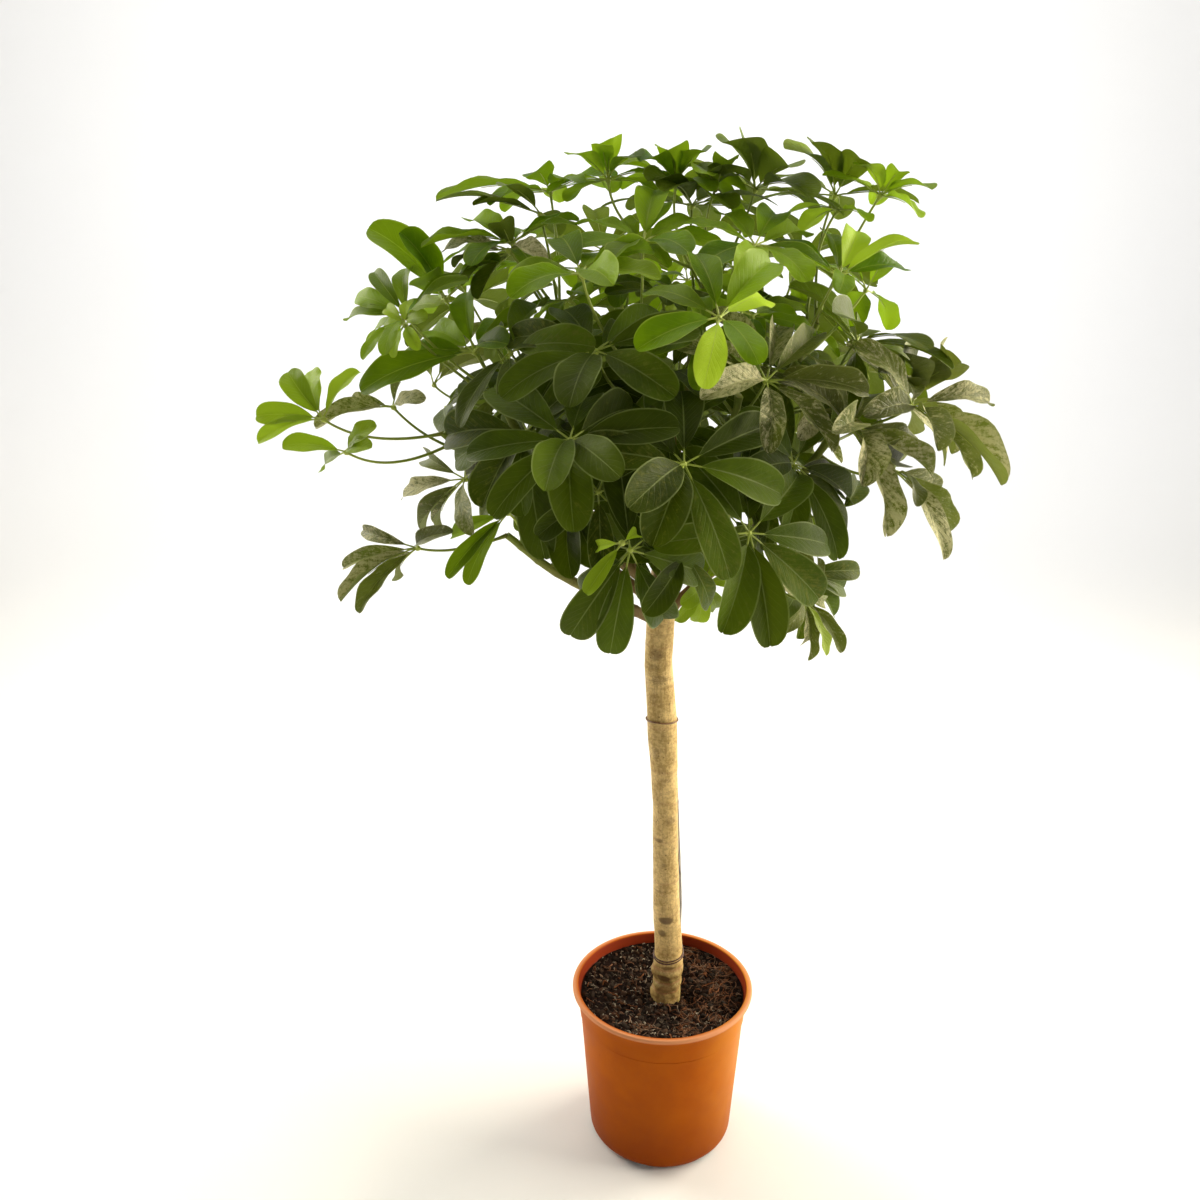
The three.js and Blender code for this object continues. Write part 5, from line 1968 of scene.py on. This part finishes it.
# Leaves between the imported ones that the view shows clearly. Each grows from the nearest branch.
SMALL_LEAVES = (
    LeafSpec(1, YOUNG, (716, 188), 10, 52, 0.5, tips=((745, 238), (662, 193), (696, 172), (728, 160))),
    LeafSpec(1, YOUNG, (622, 543), 206, 44, 1.0, tips=((586, 594), (598, 548), (637, 536)), broad=0.7),
    LeafSpec(1, OLD, (540, 214), 0, 60, tips=((473, 206), (435, 202), (500, 186), (560, 236))),
    LeafSpec(1, DUSTY, (508, 250), 44, 62, tips=((443, 252), (455, 268), (548, 262))),
    LeafSpec(1, OLD, (514, 252), 12, 62, tips=((462, 286), (478, 300), (552, 280), (500, 222))),
    LeafSpec(1, YOUNG, (405, 325), 84, 34, 0.85, tips=(
        (383, 330), (394, 358), (410, 300), (428, 318), (386, 308), (420, 350),
    )),
    LeafSpec(1, YOUNG, (838, 210), -6, 52, 0.7, tips=((785, 216), (802, 232), (868, 222))),
    LeafSpec(1, YOUNG, (640, 244), 40, 46, 0.5, tips=((602, 262), (668, 268), (618, 222))),
    LeafSpec(1, OLD, (612, 470), 60, 80, tips=((560, 420), (566, 520), (640, 520), (664, 450))),
)  # fmt: skip

CROWN_OUTLINE = (
    (366, 226), (420, 232), (445, 200), (500, 186), (545, 172), (570, 150), (610, 140), (700, 148),
    (745, 138), (835, 142), (935, 190), (915, 215), (880, 215), (880, 232), (918, 250), (890, 285),
    (885, 330), (935, 345), (955, 385), (990, 400), (1002, 485), (965, 475), (945, 560), (905, 500),
    (885, 535), (850, 485), (845, 530), (858, 570), (835, 600), (840, 655), (800, 655), (770, 645),
    (730, 632), (690, 620), (640, 640), (600, 652), (585, 632), (560, 575), (530, 560), (505, 520),
    (470, 580), (445, 575), (480, 520), (470, 470), (435, 440), (470, 400), (480, 360), (440, 352),
    (360, 378), (350, 320), (370, 280),
)  # fmt: skip

BENDS = (
    (0, 0), (0, 0.12), (0, -0.12), (0.14, 0), (-0.14, 0), (0.14, 0.14), (-0.14, 0.14), (0.26, 0),
    (-0.26, 0), (0, 0.28), (0, -0.28), (0.26, 0.2), (-0.26, 0.2), (0.4, 0), (-0.4, 0),
)  # fmt: skip


@dataclass
class Leaflet:
    """One blade on its little stalk, from the hub to its tip."""

    cut: BladeCut
    hub: Vector
    tip: Vector
    axis: Vector
    tone: Tone
    dice: random.Random
    facing: Vector = field(default_factory=lambda: UP.copy())
    rows: int = 15
    half_columns: int = 4
    stalk_steps: int = 12
    stalk_reach: float = 0.6
    corners: list[Vector] = field(init=False)
    lift: Vector = field(init=False)
    length: float = field(init=False)

    def __post_init__(self) -> None:
        """Lays out the curve of its midrib."""
        span = self.tip - self.hub
        self.length = span.length
        along = span.normalized()
        faced = self.axis + self.facing * self.dice.uniform(0.3, 1.0)
        self.lift = (faced - along * faced.dot(along)).normalized()
        rise = self.cut.rise * min(self.length, 1.15 * self.cut.length)
        near = self.hub + span * 0.33 + self.lift * rise * self.dice.uniform(0.7, 1.15)
        far = self.hub + span * 0.67 + self.lift * rise * self.dice.uniform(0.8, 1.35)
        self.corners = [self.hub, near, far, self.tip]

    def frame_at(self, along: float) -> tuple[Vector, Vector, Vector, Vector]:
        """Place, tangent, side and upper direction of the midrib at a share of its length.

        Args:
            along: share of the way from the leaflet's base to its tip.

        Returns:
            The place and the three directions, in that order.
        """
        step = 0.01
        place = bezier(self.corners, along)
        tangent = (bezier(self.corners, along + step) - bezier(self.corners, along - step)).normalized()
        side, over = cross_frame(tangent, self.lift)
        return place, tangent, side, over

    def outline(self, share: float) -> float:
        """Half width of the blade at a share of its own length, against its widest.

        Args:
            share: share of the blade's own length, from its base.

        Returns:
            The half width, at most 1.
        """
        base, tip = self.cut.base_power, self.cut.tip_power
        widest_at = base / (base + tip)
        widest = widest_at**base * (1.0 - widest_at) ** tip
        return share**base * (1.0 - share) ** tip / widest

    def add_blade(self, maker: MeshMaker, slot: int) -> None:
        """Adds the blade, folded along its midrib and rippled at its margin.

        Args:
            maker: the mesh that is being made.
            slot: index of the finish on the piece.
        """
        cut, dice = self.cut, self.dice
        half_width = cut.width * min(self.length, 1.3 * cut.length) / 2 * dice.uniform(0.86, 1.14)
        fold = cut.fold * dice.uniform(0.4, 1.6)
        twist = dice.uniform(-0.35, 0.35)
        phase = dice.uniform(0, math.tau)
        waves = dice.uniform(1.2, 2.4)
        notch = cut.notch * dice.uniform(0.0, 2.0)
        columns = range(-self.half_columns, self.half_columns + 1)
        rows = []
        for i in range(self.rows + 1):
            share = 1.0 - (1.0 - i / self.rows) ** 1.5
            at = cut.stalk + (1.0 - cut.stalk) * min(share, 0.996)
            place, tangent, side, over = self.frame_at(at)
            turn = Matrix.Rotation(twist * share, 3, tangent)
            side, over = turn @ side, turn @ over
            half = max(half_width * self.outline(min(share, 0.999)), 0.5 * MM)
            row = []
            for j in columns:
                out = j / self.half_columns
                ripple = cut.ripple * math.sin(math.tau * waves * share + phase + (1.4 if j > 0 else 0.0))
                height = (fold * abs(out) ** 1.25 - 0.10 * out**4 + ripple * out * out) * half
                back = notch * self.length * bell(out, 0.35) * share**16
                point = place + side * (out * half) + over * height - tangent * back
                row.append(maker.point(point, self.tone, (0.5 + 0.5 * out, share)))
            rows.append(row)
        maker.skin(rows, slot, closed=False)

    def add_stalk(self, maker: MeshMaker, slot: int, tone: Tone) -> None:
        """Adds the little stalk, which runs on as a rib under the blade.

        Args:
            maker: the mesh that is being made.
            slot: index of the finish on the piece.
            tone: the stalk's tone.
        """
        centres, radii = [], []
        for i in range(self.stalk_steps + 1):
            share = i / self.stalk_steps
            at = self.stalk_reach * share
            place, _, _, over = self.frame_at(max(at, 0.01))
            under = smooth_step(self.cut.stalk * 0.7, self.cut.stalk * 1.3, at)
            centres.append(place - over * 0.75 * MM * under)
            radii.append(blend(0.95, 0.3, share**0.7) * MM)
        maker.tube(centres, radii, 6, [tone] * len(centres), slot)


@dataclass
class Leaf:
    """A whole leaf: its petiole, hub and whorl of leaflets.

    `knot` is the swelling at the hub: places along the axis and radii, in millimetres. `lime` is how
    lime-coloured the stems are, and `facing` how far and which way the blades turn to the light.
    """

    cut: BladeCut
    start: Vector
    hub: Vector
    axis: Vector
    bend: tuple[float, float]
    tips: list[Vector]
    tones: list[Tone]
    dice: random.Random
    lime: float
    facing: Vector
    petiole_radius: float = 1.45 * MM
    petiole_steps: int = 22
    petiole_sides: int = 9
    approach: float = 0.42
    knot: tuple[tuple[float, float], ...] = ((-3.4, 1.0), (-2.0, 2.1), (-0.4, 2.7), (1.0, 2.0), (2.0, 0.6))
    knot_tone: Tone = (0.05, 0.85, 0.3)

    @staticmethod
    def petiole(
        start: Vector, hub: Vector, axis: Vector, bend: tuple[float, float], approach: float
    ) -> list[Vector]:
        """Corners of a petiole's curve.

        Args:
            start: where it leaves the branch.
            hub: where it ends.
            axis: the way the whorl faces.
            bend: its sideways and upwards bend, as shares of its length.
            approach: how far behind the hub it aims, as a share of its length.

        Returns:
            The three corners.
        """
        length = (hub - start).length
        side = (hub - start).cross(UP).normalized()
        before = hub - axis * length * approach + UP * bend[1] * length + side * bend[0] * length
        return [start, before, hub]

    def add_to(self, maker: MeshMaker, stem_slot: int, blade_slot: int) -> None:
        """Adds the leaf to a mesh.

        Args:
            maker: the mesh that is being made.
            stem_slot: index of the stem's finish on the piece.
            blade_slot: index of the blade's finish on the piece.
        """
        corners = self.petiole(self.start, self.hub, self.axis, self.bend, self.approach)
        centres, radii, tones = [], [], []
        for i in range(self.petiole_steps + 1):
            share = i / self.petiole_steps
            centres.append(bezier(corners, share))
            swollen = 0.55 * bell(share, 0.05) + 0.35 * bell(1 - share, 0.04)
            radii.append(self.petiole_radius * (1.0 - 0.3 * share + swollen))
            green = clamp(self.lime * blend(0.45, 1.0, share))
            tones.append((0.35 * bell(share, 0.06), green, 0.3))
        maker.tube(centres, radii, self.petiole_sides, tones, stem_slot)
        knot = [self.hub + self.axis * step * MM for step, _ in self.knot]
        girth = [radius * MM for _, radius in self.knot]
        maker.tube(knot, girth, 10, [self.knot_tone] * len(knot), stem_slot)
        for tip, tone in zip(self.tips, self.tones):
            leaflet = Leaflet(self.cut, self.hub, tip, self.axis, tone, self.dice, self.facing)
            leaflet.add_stalk(maker, stem_slot, (0.0, clamp(0.35 + self.lime * 0.5), 0.2))
            leaflet.add_blade(maker, blade_slot)


@dataclass
class Crown:
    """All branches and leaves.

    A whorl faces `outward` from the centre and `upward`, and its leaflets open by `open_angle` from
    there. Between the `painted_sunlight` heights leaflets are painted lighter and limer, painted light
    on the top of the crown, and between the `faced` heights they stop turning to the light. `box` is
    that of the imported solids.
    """

    view: Standpoint
    centre: Vector = field(default_factory=lambda: Vector((-30, 0, 755)) * MM)
    outward: float = 0.8
    upward: float = 0.55
    open_angle: float = 1.62
    filler_share: float = 0.92
    back_from: float = 0.1
    widest_gap: float = 1.35
    box: tuple[Sequence[float], Sequence[float]] = field(default_factory=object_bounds)
    branch_steps: int = 40
    branch_radii: tuple[float, float] = (5.6, 3.0)
    branch_sides: int = 14
    usual_petiole: float = 0.08
    usual_fresh: float = 0.22
    # tone of the sighted lime leaflets, partly painted glow of light shining through them
    lime_glow_tone: Tone = (0.85, 1.0, 0.05)
    inner_leaves: int = 58
    inner_counts: tuple[int, ...] = (5, 6, 7, 7)
    inner_tries: int = 60
    inner_reach: tuple[float, float] = (0.42, 0.84)
    lowest: float = -0.45
    young_from: float = 0.84
    dusty_from: float = 0.08
    inner_size: tuple[float, float, float] = (235 * MM, 215 * MM, 205 * MM)
    tip_match: float = 0.08 * MM
    near_tip: float = 22 * MM
    # heights over which leaflets are painted lighter and limer, painted sunlight on the crown's top
    painted_sunlight: tuple[float, float] = (0.75, 0.95)
    faced: tuple[float, float] = (0.80, 0.92)
    seed: int = 5

    @staticmethod
    def spread(axis: Vector, angle: float, tilt: float) -> Vector:
        """A direction in a whorl.

        Args:
            axis: the way the whorl faces.
            angle: how far round the axis the direction lies.
            tilt: how far from the axis it leans.

        Returns:
            The direction, of length 1.
        """
        side, over = cross_frame(axis, UP)
        around = side * math.cos(angle) + over * math.sin(angle)
        return axis * math.cos(tilt) + around * math.sin(tilt)

    def axis_of(self, hub: Vector) -> Vector:
        """The way a whorl faces: out of the crown, and up."""
        out = (hub - self.centre).normalized()
        return (out * self.outward + UP * self.upward).normalized()

    def hub_of(self, spec: LeafSpec) -> Vector:
        """The place of a leaf's hub."""
        if spec.reach is None:
            return Vector(spec.hub) * MM
        return self.view.sight(spec.hub[0], spec.hub[1], spec.reach * MM)

    def sighted_tip(self, sighting: tuple[float, float], hub: Vector, axis: Vector, length: float) -> Vector:
        """The place of a sighted tip.

        Args:
            sighting: the tip's point of the view.
            hub: the whorl's middle.
            axis: the way it faces.
            length: the usual length of its leaflets.

        Returns:
            The place that far from the hub, or the nearest one where the sight line passes further off.
        """
        eye = Vector(self.view.eye)
        line = self.view.line_to(sighting)
        along = (hub - eye).dot(line)
        miss = (eye + line * along - hub).length
        half = math.sqrt(max(0.0, length * length - miss * miss))
        wanted = math.cos(self.open_angle)
        choices = [eye + line * (along - half), eye + line * (along + half)]
        return min(choices, key=lambda tip: abs((tip - hub).normalized().dot(axis) - wanted))

    def tips_of(self, node: bpy.types.Object, hub: Vector, lengths: Sequence[float]) -> list[Vector]:
        """Leaflet tips of a packed leaf: its corners that lie one of the lengths from its hub.

        Args:
            node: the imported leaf.
            hub: the place where the leaflets meet.
            lengths: how far from the hub the leaf's tips can lie, in metres.

        Returns:
            The tips' places.
        """
        found: list[Vector] = []
        for vertex in node.data.vertices:
            away = (vertex.co - hub).length
            is_tip = any(abs(away - length) < self.tip_match for length in lengths)
            if is_tip and all((vertex.co - tip).length > MM for tip in found):
                found.append(vertex.co.copy())
        return found

    def is_inside(self, place: Vector) -> bool:
        """Whether a place is seen inside the crown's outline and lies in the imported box.

        Args:
            place: the place, in the frame's own metres.

        Returns:
            True where both hold.
        """
        low, high = self.box
        if not all(low[k] < place[k] < high[k] for k in range(3)):
            return False
        across, down = self.view.sighted(place)
        inside = False
        for (x1, y1), (x2, y2) in zip(CROWN_OUTLINE, (*CROWN_OUTLINE[1:], CROWN_OUTLINE[0])):
            if (y1 > down) != (y2 > down) and across < x1 + (down - y1) * (x2 - x1) / (y2 - y1):
                inside = not inside
        return inside

    def completed(self, tips: list[Vector], hub: Vector, axis: Vector, dice: random.Random) -> list[Vector]:
        """Fills wide gaps round a whorl with further tips.

        Args:
            tips: the tips that it has.
            hub: the whorl's middle.
            axis: the way it faces.
            dice: the leaf's own random numbers.

        Returns:
            The tips that fill the gaps.
        """
        side, over = cross_frame(axis, UP)
        turns = []
        for tip in tips:
            out = tip - hub
            turns.append((math.atan2(out.dot(over), out.dot(side)), out.angle(axis), out.length))
        turns.sort()
        added = []
        for i, (turn, open_angle, length) in enumerate(turns):
            ahead = turns[(i + 1) % len(turns)]
            gap = (ahead[0] - turn) % math.tau or math.tau
            extra = int(gap / self.widest_gap)
            for k in range(1, extra + 1):
                share = k / (extra + 1)
                angle = turn + gap * share + dice.uniform(-0.1, 0.1)
                tilt = blend(open_angle, ahead[1], share) + dice.uniform(-0.15, 0.2)
                reach = blend(length, ahead[2], share) * dice.uniform(0.72, 0.95)
                added.append(hub + self.spread(axis, angle, tilt) * reach)
        return [tip for tip in added if self.is_inside(tip)]

    @staticmethod
    def bend_of(
        node: bpy.types.Object, start: Vector, hub: Vector, axis: Vector
    ) -> tuple[float, float]:
        """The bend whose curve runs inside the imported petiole.

        Args:
            node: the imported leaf.
            start: where its petiole leaves the branch.
            hub: where the petiole ends.
            axis: the way the whorl faces.

        Returns:
            The sideways and upwards bend that fit best.
        """

        def miss(bend: tuple[float, float]) -> float:
            """How far the curve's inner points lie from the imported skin."""
            corners = Leaf.petiole(start, hub, axis, bend, Leaf.approach)
            probes = [bezier(corners, share) for share in (0.3, 0.5, 0.7)]
            return sum((node.closest_point_on_mesh(probe)[1] - probe).length for probe in probes)

        return min(BENDS, key=miss)

    def branch_path(self, spec: BranchSpec) -> list[Vector]:
        """A branch's path in metres."""
        return [Vector(place) * MM for place in spec.path]

    def add_branches(self, maker: MeshMaker, slot: int) -> None:
        """Adds the branches to the trunk's mesh.

        Args:
            maker: the mesh that is being made.
            slot: index of the finish on the piece.
        """
        for spec in BRANCHES:
            path = self.branch_path(spec)
            centres, radii, tones = [], [], []
            for i in range(self.branch_steps + 1):
                share = i / self.branch_steps
                knuckle = 0.14 * bell(math.sin(share * 26.0 + len(spec.name)), 0.35)
                centres.append(through(path, share))
                radii.append(blend(*self.branch_radii, share) * MM * (1.0 + knuckle))
                tones.append((clamp(1.1 - share * 1.1), 0.25 * share, 0.6))
            maker.tube(centres, radii, self.branch_sides, tones, slot)

    def tone_of(self, spec: LeafSpec, hub: Vector, dice: random.Random, is_lime_glow: bool) -> Tone:
        """Lightness, lime and share of dry film and painted sheen of one leaflet; high in the crown it is
        painted lighter and limer, as painted sunlight.

        Args:
            spec: its leaf.
            hub: the whorl's middle.
            dice: the leaf's random numbers.
            is_lime_glow: whether it is one of the yellowest, painted with the glow of light shining through
                it.

        Returns:
            Its tone.
        """
        # painted light: leaflets high in the crown are made lighter and limer
        painted_sun_share = smooth_step(*self.painted_sunlight, hub.z)
        light = dice.uniform(0.05, 0.8) + 0.3 * painted_sun_share
        # painted glow: the sighted lime leaflets stand for light shining through them
        if is_lime_glow:
            return self.lime_glow_tone
        if spec.age is Age.OLD:
            return (light, dice.uniform(0.0, 0.12) + 0.2 * painted_sun_share + (spec.fresh or 0.0), dice.uniform(0.2, 0.75))
        if spec.age is Age.DUSTY:
            return (light, dice.uniform(0.0, 0.2), clamp(dice.uniform(0.4, 1.15)))
        fresh = self.usual_fresh if spec.fresh is None else spec.fresh
        return (light, clamp(fresh + dice.uniform(-0.25, 0.25)), dice.uniform(0.1, 0.6))

    def lime_glow_tips(self, spec: LeafSpec, hub: Vector, tips: list[Vector]) -> set[int]:
        """Which of the tips are the lime ones, painted with the glow of light shining through them, by where
        the view shows them.

        Args:
            spec: what the tables list of the leaf.
            hub: not used.
            tips: the leaflets' tips.

        Returns:
            Indices of the lime tips.
        """
        chosen = set()
        for across, down in spec.lime:
            line = self.view.line_to((across, down))
            eye = Vector(self.view.eye)
            chosen.add(min(range(len(tips)), key=lambda i: (tips[i] - eye).cross(line).length))
        return chosen

    @staticmethod
    def cut_of(spec: LeafSpec) -> BladeCut:
        """How the leaf's blades are cut."""
        cut = CUTS[spec.age]
        return replace(cut, width=cut.width * spec.broad)

    def facing_of(self, hub: Vector) -> Vector:
        """How far and which way a whorl's blades turn to the light, which high whorls hardly do.

        Args:
            hub: the place where the leaflets meet.

        Returns:
            The turn, as a direction with its strength for a length.
        """
        away = (Vector(self.view.eye) - hub).normalized()
        if hub.y > self.back_from:
            away.y = -away.y
        return away * (1.0 - 0.75 * smooth_step(*self.faced, hub.z))

    def nearest_start(self, hub: Vector) -> Vector:
        """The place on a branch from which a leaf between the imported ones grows.

        Args:
            hub: the place where the leaflets meet.

        Returns:
            The place.
        """
        starts = [through(self.branch_path(branch), on / 10) for branch in BRANCHES for on in range(3, 10)]

        def cost(place: Vector) -> float:
            """How long the petiole would be, and how far from the usual length."""
            length = (place - hub).length
            return length + abs(length - self.usual_petiole)

        return min(starts, key=cost)

    def small_leaf(self, spec: LeafSpec, dice: random.Random) -> Leaf:
        """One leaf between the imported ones, where the view shows it.

        Args:
            spec: what the tables list of the leaf.
            dice: the seeded source of random numbers.

        Returns:
            The leaf, ready to be added to a mesh.
        """
        hub = self.hub_of(spec)
        axis = self.axis_of(hub)
        tips = [self.sighted_tip(sighting, hub, axis, spec.length * MM) for sighting in spec.tips]
        tones = [self.tone_of(spec, hub, dice, False) for _ in tips]
        bend = (dice.uniform(-0.1, 0.1), dice.uniform(0.0, 0.15))
        start = self.nearest_start(hub)
        return Leaf(self.cut_of(spec), start, hub, axis, bend, tips, tones, dice, 0.5, self.facing_of(hub))

    def build_leaf(
        self, name: str, branch: BranchSpec, spec: LeafSpec, finishes: Blades, stem: bpy.types.Material
    ) -> bpy.types.Object:
        """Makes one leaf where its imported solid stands.

        Args:
            name: the solid's name.
            branch: the branch that bears the leaf.
            spec: the leaf.
            finishes: the blades' materials, by age.
            stem: the stems' material.

        Returns:
            The leaf.
        """
        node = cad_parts[name]
        cut = self.cut_of(spec)
        length = spec.length * MM if spec.length else cut.length
        hub = self.hub_of(spec)
        axis = self.axis_of(hub)
        wanted = [self.sighted_tip(sighting, hub, axis, length) for sighting in spec.tips]
        lengths = [length, length * self.filler_share, *((tip - hub).length for tip in wanted)]
        tips = self.tips_of(node, hub, lengths)
        tips += [tip for tip in wanted if all((tip - other).length > self.near_tip for other in tips)]
        if len(tips) < 3:
            log.warning("%s: only %d tips found", name, len(tips))
        dice = random.Random(f"{self.seed} {name}")
        if not spec.whole:
            tips += self.completed(tips, hub, axis, dice)
        start = through(self.branch_path(branch), spec.on)
        lime = self.lime_glow_tips(spec, hub, tips) if tips else set()
        tones = [self.tone_of(spec, hub, dice, i in lime) for i in range(len(tips))]
        bend = self.bend_of(node, start, hub, axis)
        leaf = Leaf(cut, start, hub, axis, bend, tips, tones, dice, STEM_LIME[spec.age], self.facing_of(hub))
        maker = MeshMaker()
        leaf.add_to(maker, 0, 1)
        made = maker.build(name.replace("leaf_", "whorl_"), [stem, finishes[spec.age]])
        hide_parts(name)
        return made

    def inner_hubs(self, dice: random.Random) -> list[Vector]:
        """Places inside the crown that lie far from every hub, for the leaves that fill it.

        Args:
            dice: the seeded source of random numbers.

        Returns:
            The hubs' places.
        """
        taken = [self.hub_of(spec) for branch in BRANCHES for spec in branch.leaves]
        hubs = []
        for _ in range(self.inner_leaves):
            best, room = self.centre, 0.0
            for _ in range(self.inner_tries):
                out = Vector([dice.gauss(0, 1) for _ in range(3)]).normalized()
                if out.z < self.lowest:
                    continue
                reach = dice.uniform(*self.inner_reach)
                place = self.centre + Vector([out[k] * self.inner_size[k] * reach for k in range(3)])
                clear = min((place - other).length for other in taken)
                if clear > room:
                    best, room = place, clear
            taken.append(best)
            hubs.append(best)
        return hubs

    def inner_leaf(self, hub: Vector, age: Age, dice: random.Random) -> Leaf:
        """One leaf that fills the inside of the crown.

        Args:
            hub: the place where the leaflets meet.
            age: the leaf's age.
            dice: the seeded source of random numbers.

        Returns:
            The leaf, ready to be added to a mesh.
        """
        cut = CUTS[age]
        axis = (self.axis_of(hub) + Vector([dice.uniform(-0.25, 0.25) for _ in range(3)])).normalized()
        count = dice.choice(self.inner_counts)
        first = dice.uniform(0, math.tau)
        length = cut.length * dice.uniform(0.6, 0.95)
        tips = []
        for k in range(count):
            angle = first + math.tau * (k + dice.uniform(-0.2, 0.2)) / count
            tilt = self.open_angle + dice.uniform(-0.2, 0.35)
            tip = hub + self.spread(axis, angle, tilt) * length * dice.uniform(0.8, 1.0)
            if self.is_inside(tip):
                tips.append(tip)
        spec = LeafSpec(1, age, (0, 0))
        tones = [self.tone_of(spec, hub, dice, False) for _ in tips]
        bend = (dice.uniform(-0.15, 0.15), dice.uniform(0.0, 0.2))
        freshness = 0.7 if age is Age.YOUNG else 0.2
        start = self.nearest_start(hub)
        return Leaf(cut, start, hub, axis, bend, tips, tones, dice, freshness, self.facing_of(hub))

    def build_inner(self, finishes: Blades, stem: bpy.types.Material) -> list[bpy.types.Object]:
        """Makes the leaves that fill the crown, one piece for each age.

        Args:
            finishes: the leaf finishes, by age.
            stem: the finish of the green stems.

        Returns:
            The finished pieces.
        """
        dice = random.Random(self.seed)
        makers = {age: MeshMaker() for age in Age}
        for hub in self.inner_hubs(dice):
            age = Age.OLD
            if hub.z > self.young_from and dice.random() < 0.7:
                age = Age.YOUNG
            # dusty leaves on the right, whose pale film is partly painted sheen from the right-hand light
            elif hub.x > self.dusty_from and dice.random() < 0.5:
                age = Age.DUSTY
            self.inner_leaf(hub, age, dice).add_to(makers[age], 0, 1)
        for spec in SMALL_LEAVES:
            self.small_leaf(spec, dice).add_to(makers[spec.age], 0, 1)
        made = []
        for age, maker in makers.items():
            if maker.faces:
                piece = maker.build(f"inner_{age.value}_leaves", [stem, finishes[age]])
                made.append(piece)
        return made

    def build(self, finishes: Blades, stem: bpy.types.Material) -> list[bpy.types.Object]:
        """Makes all leaves, branch by branch.

        Args:
            finishes: the leaf finishes, by age.
            stem: the finish of the green stems.

        Returns:
            The finished pieces.
        """
        made = self.build_inner(finishes, stem)
        for branch in BRANCHES:
            for i, spec in enumerate(branch.leaves, 1):
                made.append(self.build_leaf(f"leaf_{branch.name}_{i}", branch, spec, finishes, stem))
        return made


# ---- assembly --------------------------------------------------------------------------------------


def blade_finishes(effects: Effects) -> Blades:
    """The three leaf finishes, by age.

    Args:
        effects: the shared effects.

    Returns:
        A finish for each age.
    """
    old = Blade(
        "old_blade",
        dark=rgb(0.017, 0.036, 0.001),
        light=rgb(0.038, 0.067, 0.002),
        lime=rgb(0.24, 0.34, 0.02),
        vein=rgb(0.26, 0.31, 0.11),
        under=rgb(0.14, 0.18, 0.04),
        glow=rgb(0.22, 0.32, 0.006),
        rough=0.42,
        thinness=0.18,
        shine=0.13,
        film=rgb(0.165, 0.17, 0.036),
        coat=0.7,
        relief=0.6,
    )
    dusty = Blade(
        "dusty_blade",
        dark=rgb(0.042, 0.062, 0.007),
        light=rgb(0.11, 0.13, 0.022),
        lime=rgb(0.24, 0.32, 0.04),
        vein=rgb(0.34, 0.36, 0.14),
        under=rgb(0.21, 0.24, 0.08),
        glow=rgb(0.28, 0.35, 0.03),
        rough=0.36,
        thinness=0.2,
        shine=0.4,
        film=rgb(0.68, 0.63, 0.37),
        coat=0.85,
        relief=1.0,
    )
    young = Blade(
        "young_blade",
        dark=rgb(0.026, 0.076, 0.0008),
        light=rgb(0.072, 0.145, 0.001),
        lime=rgb(0.36, 0.50, 0.03),
        vein=rgb(0.40, 0.50, 0.08),
        under=rgb(0.24, 0.33, 0.035),
        glow=rgb(0.36, 0.60, 0.003),
        rough=0.36,
        thinness=0.33,
        shine=0.14,
        film=rgb(0.15, 0.22, 0.015),
        coat=0.45,
        relief=0.5,
    )
    return {Age.OLD: old.build(effects), Age.DUSTY: dusty.build(effects), Age.YOUNG: young.build(effects)}


def main() -> None:
    """Builds the plant in its pot, and the studio round it."""
    logging.basicConfig(level=logging.INFO, format="%(name)s: %(message)s")
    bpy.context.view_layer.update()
    view = Standpoint()
    view.make_camera()
    Studio().build()
    effects = Effects()

    pot = NurseryPot()
    report(pot.build(PotPlastic("pot_plastic").build(effects)))
    report(PottingSoil(pot).build(Peat("peat").build(effects)))

    stem = GreenStem("green_stem").build(effects)
    trunk = Trunk(view)
    crown = Crown(view)
    maker = MeshMaker()
    trunk.add_to(maker)
    crown.add_branches(maker, 1)
    wood = maker.build("trunk_and_branches", [Bark("bark").build(effects), stem])
    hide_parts("trunk")
    report(wood)

    cane = SupportCane()
    report(cane.build(CaneSkin("cane_skin").build(effects)))
    dark_cord = TieCord("dark_cord").build(effects)
    rust_cord = TieCord("rust_cord", rgb(0.11, 0.040, 0.014), rgb(0.27, 0.14, 0.05)).build(effects)
    lower = Tie(
        "lower_tie_wire", "lower_tie", trunk, cane,
        height=211 * MM, pitch=2.8 * MM, turns=2.05, wire=0.7 * MM, sag=2.4 * MM, tilt=1.2 * MM,
    )  # fmt: skip
    upper = Tie(
        "upper_tie_wire", "upper_tie", trunk, cane,
        height=481 * MM, pitch=0.6 * MM, turns=1.04, wire=0.85 * MM, sag=-1.4 * MM, tilt=-0.6 * MM,
    )  # fmt: skip
    report(lower.build(dark_cord))
    report(upper.build(rust_cord))
    for leaf in crown.build(blade_finishes(effects), stem):
        report(leaf)


if __name__ == "__main__":
    main()
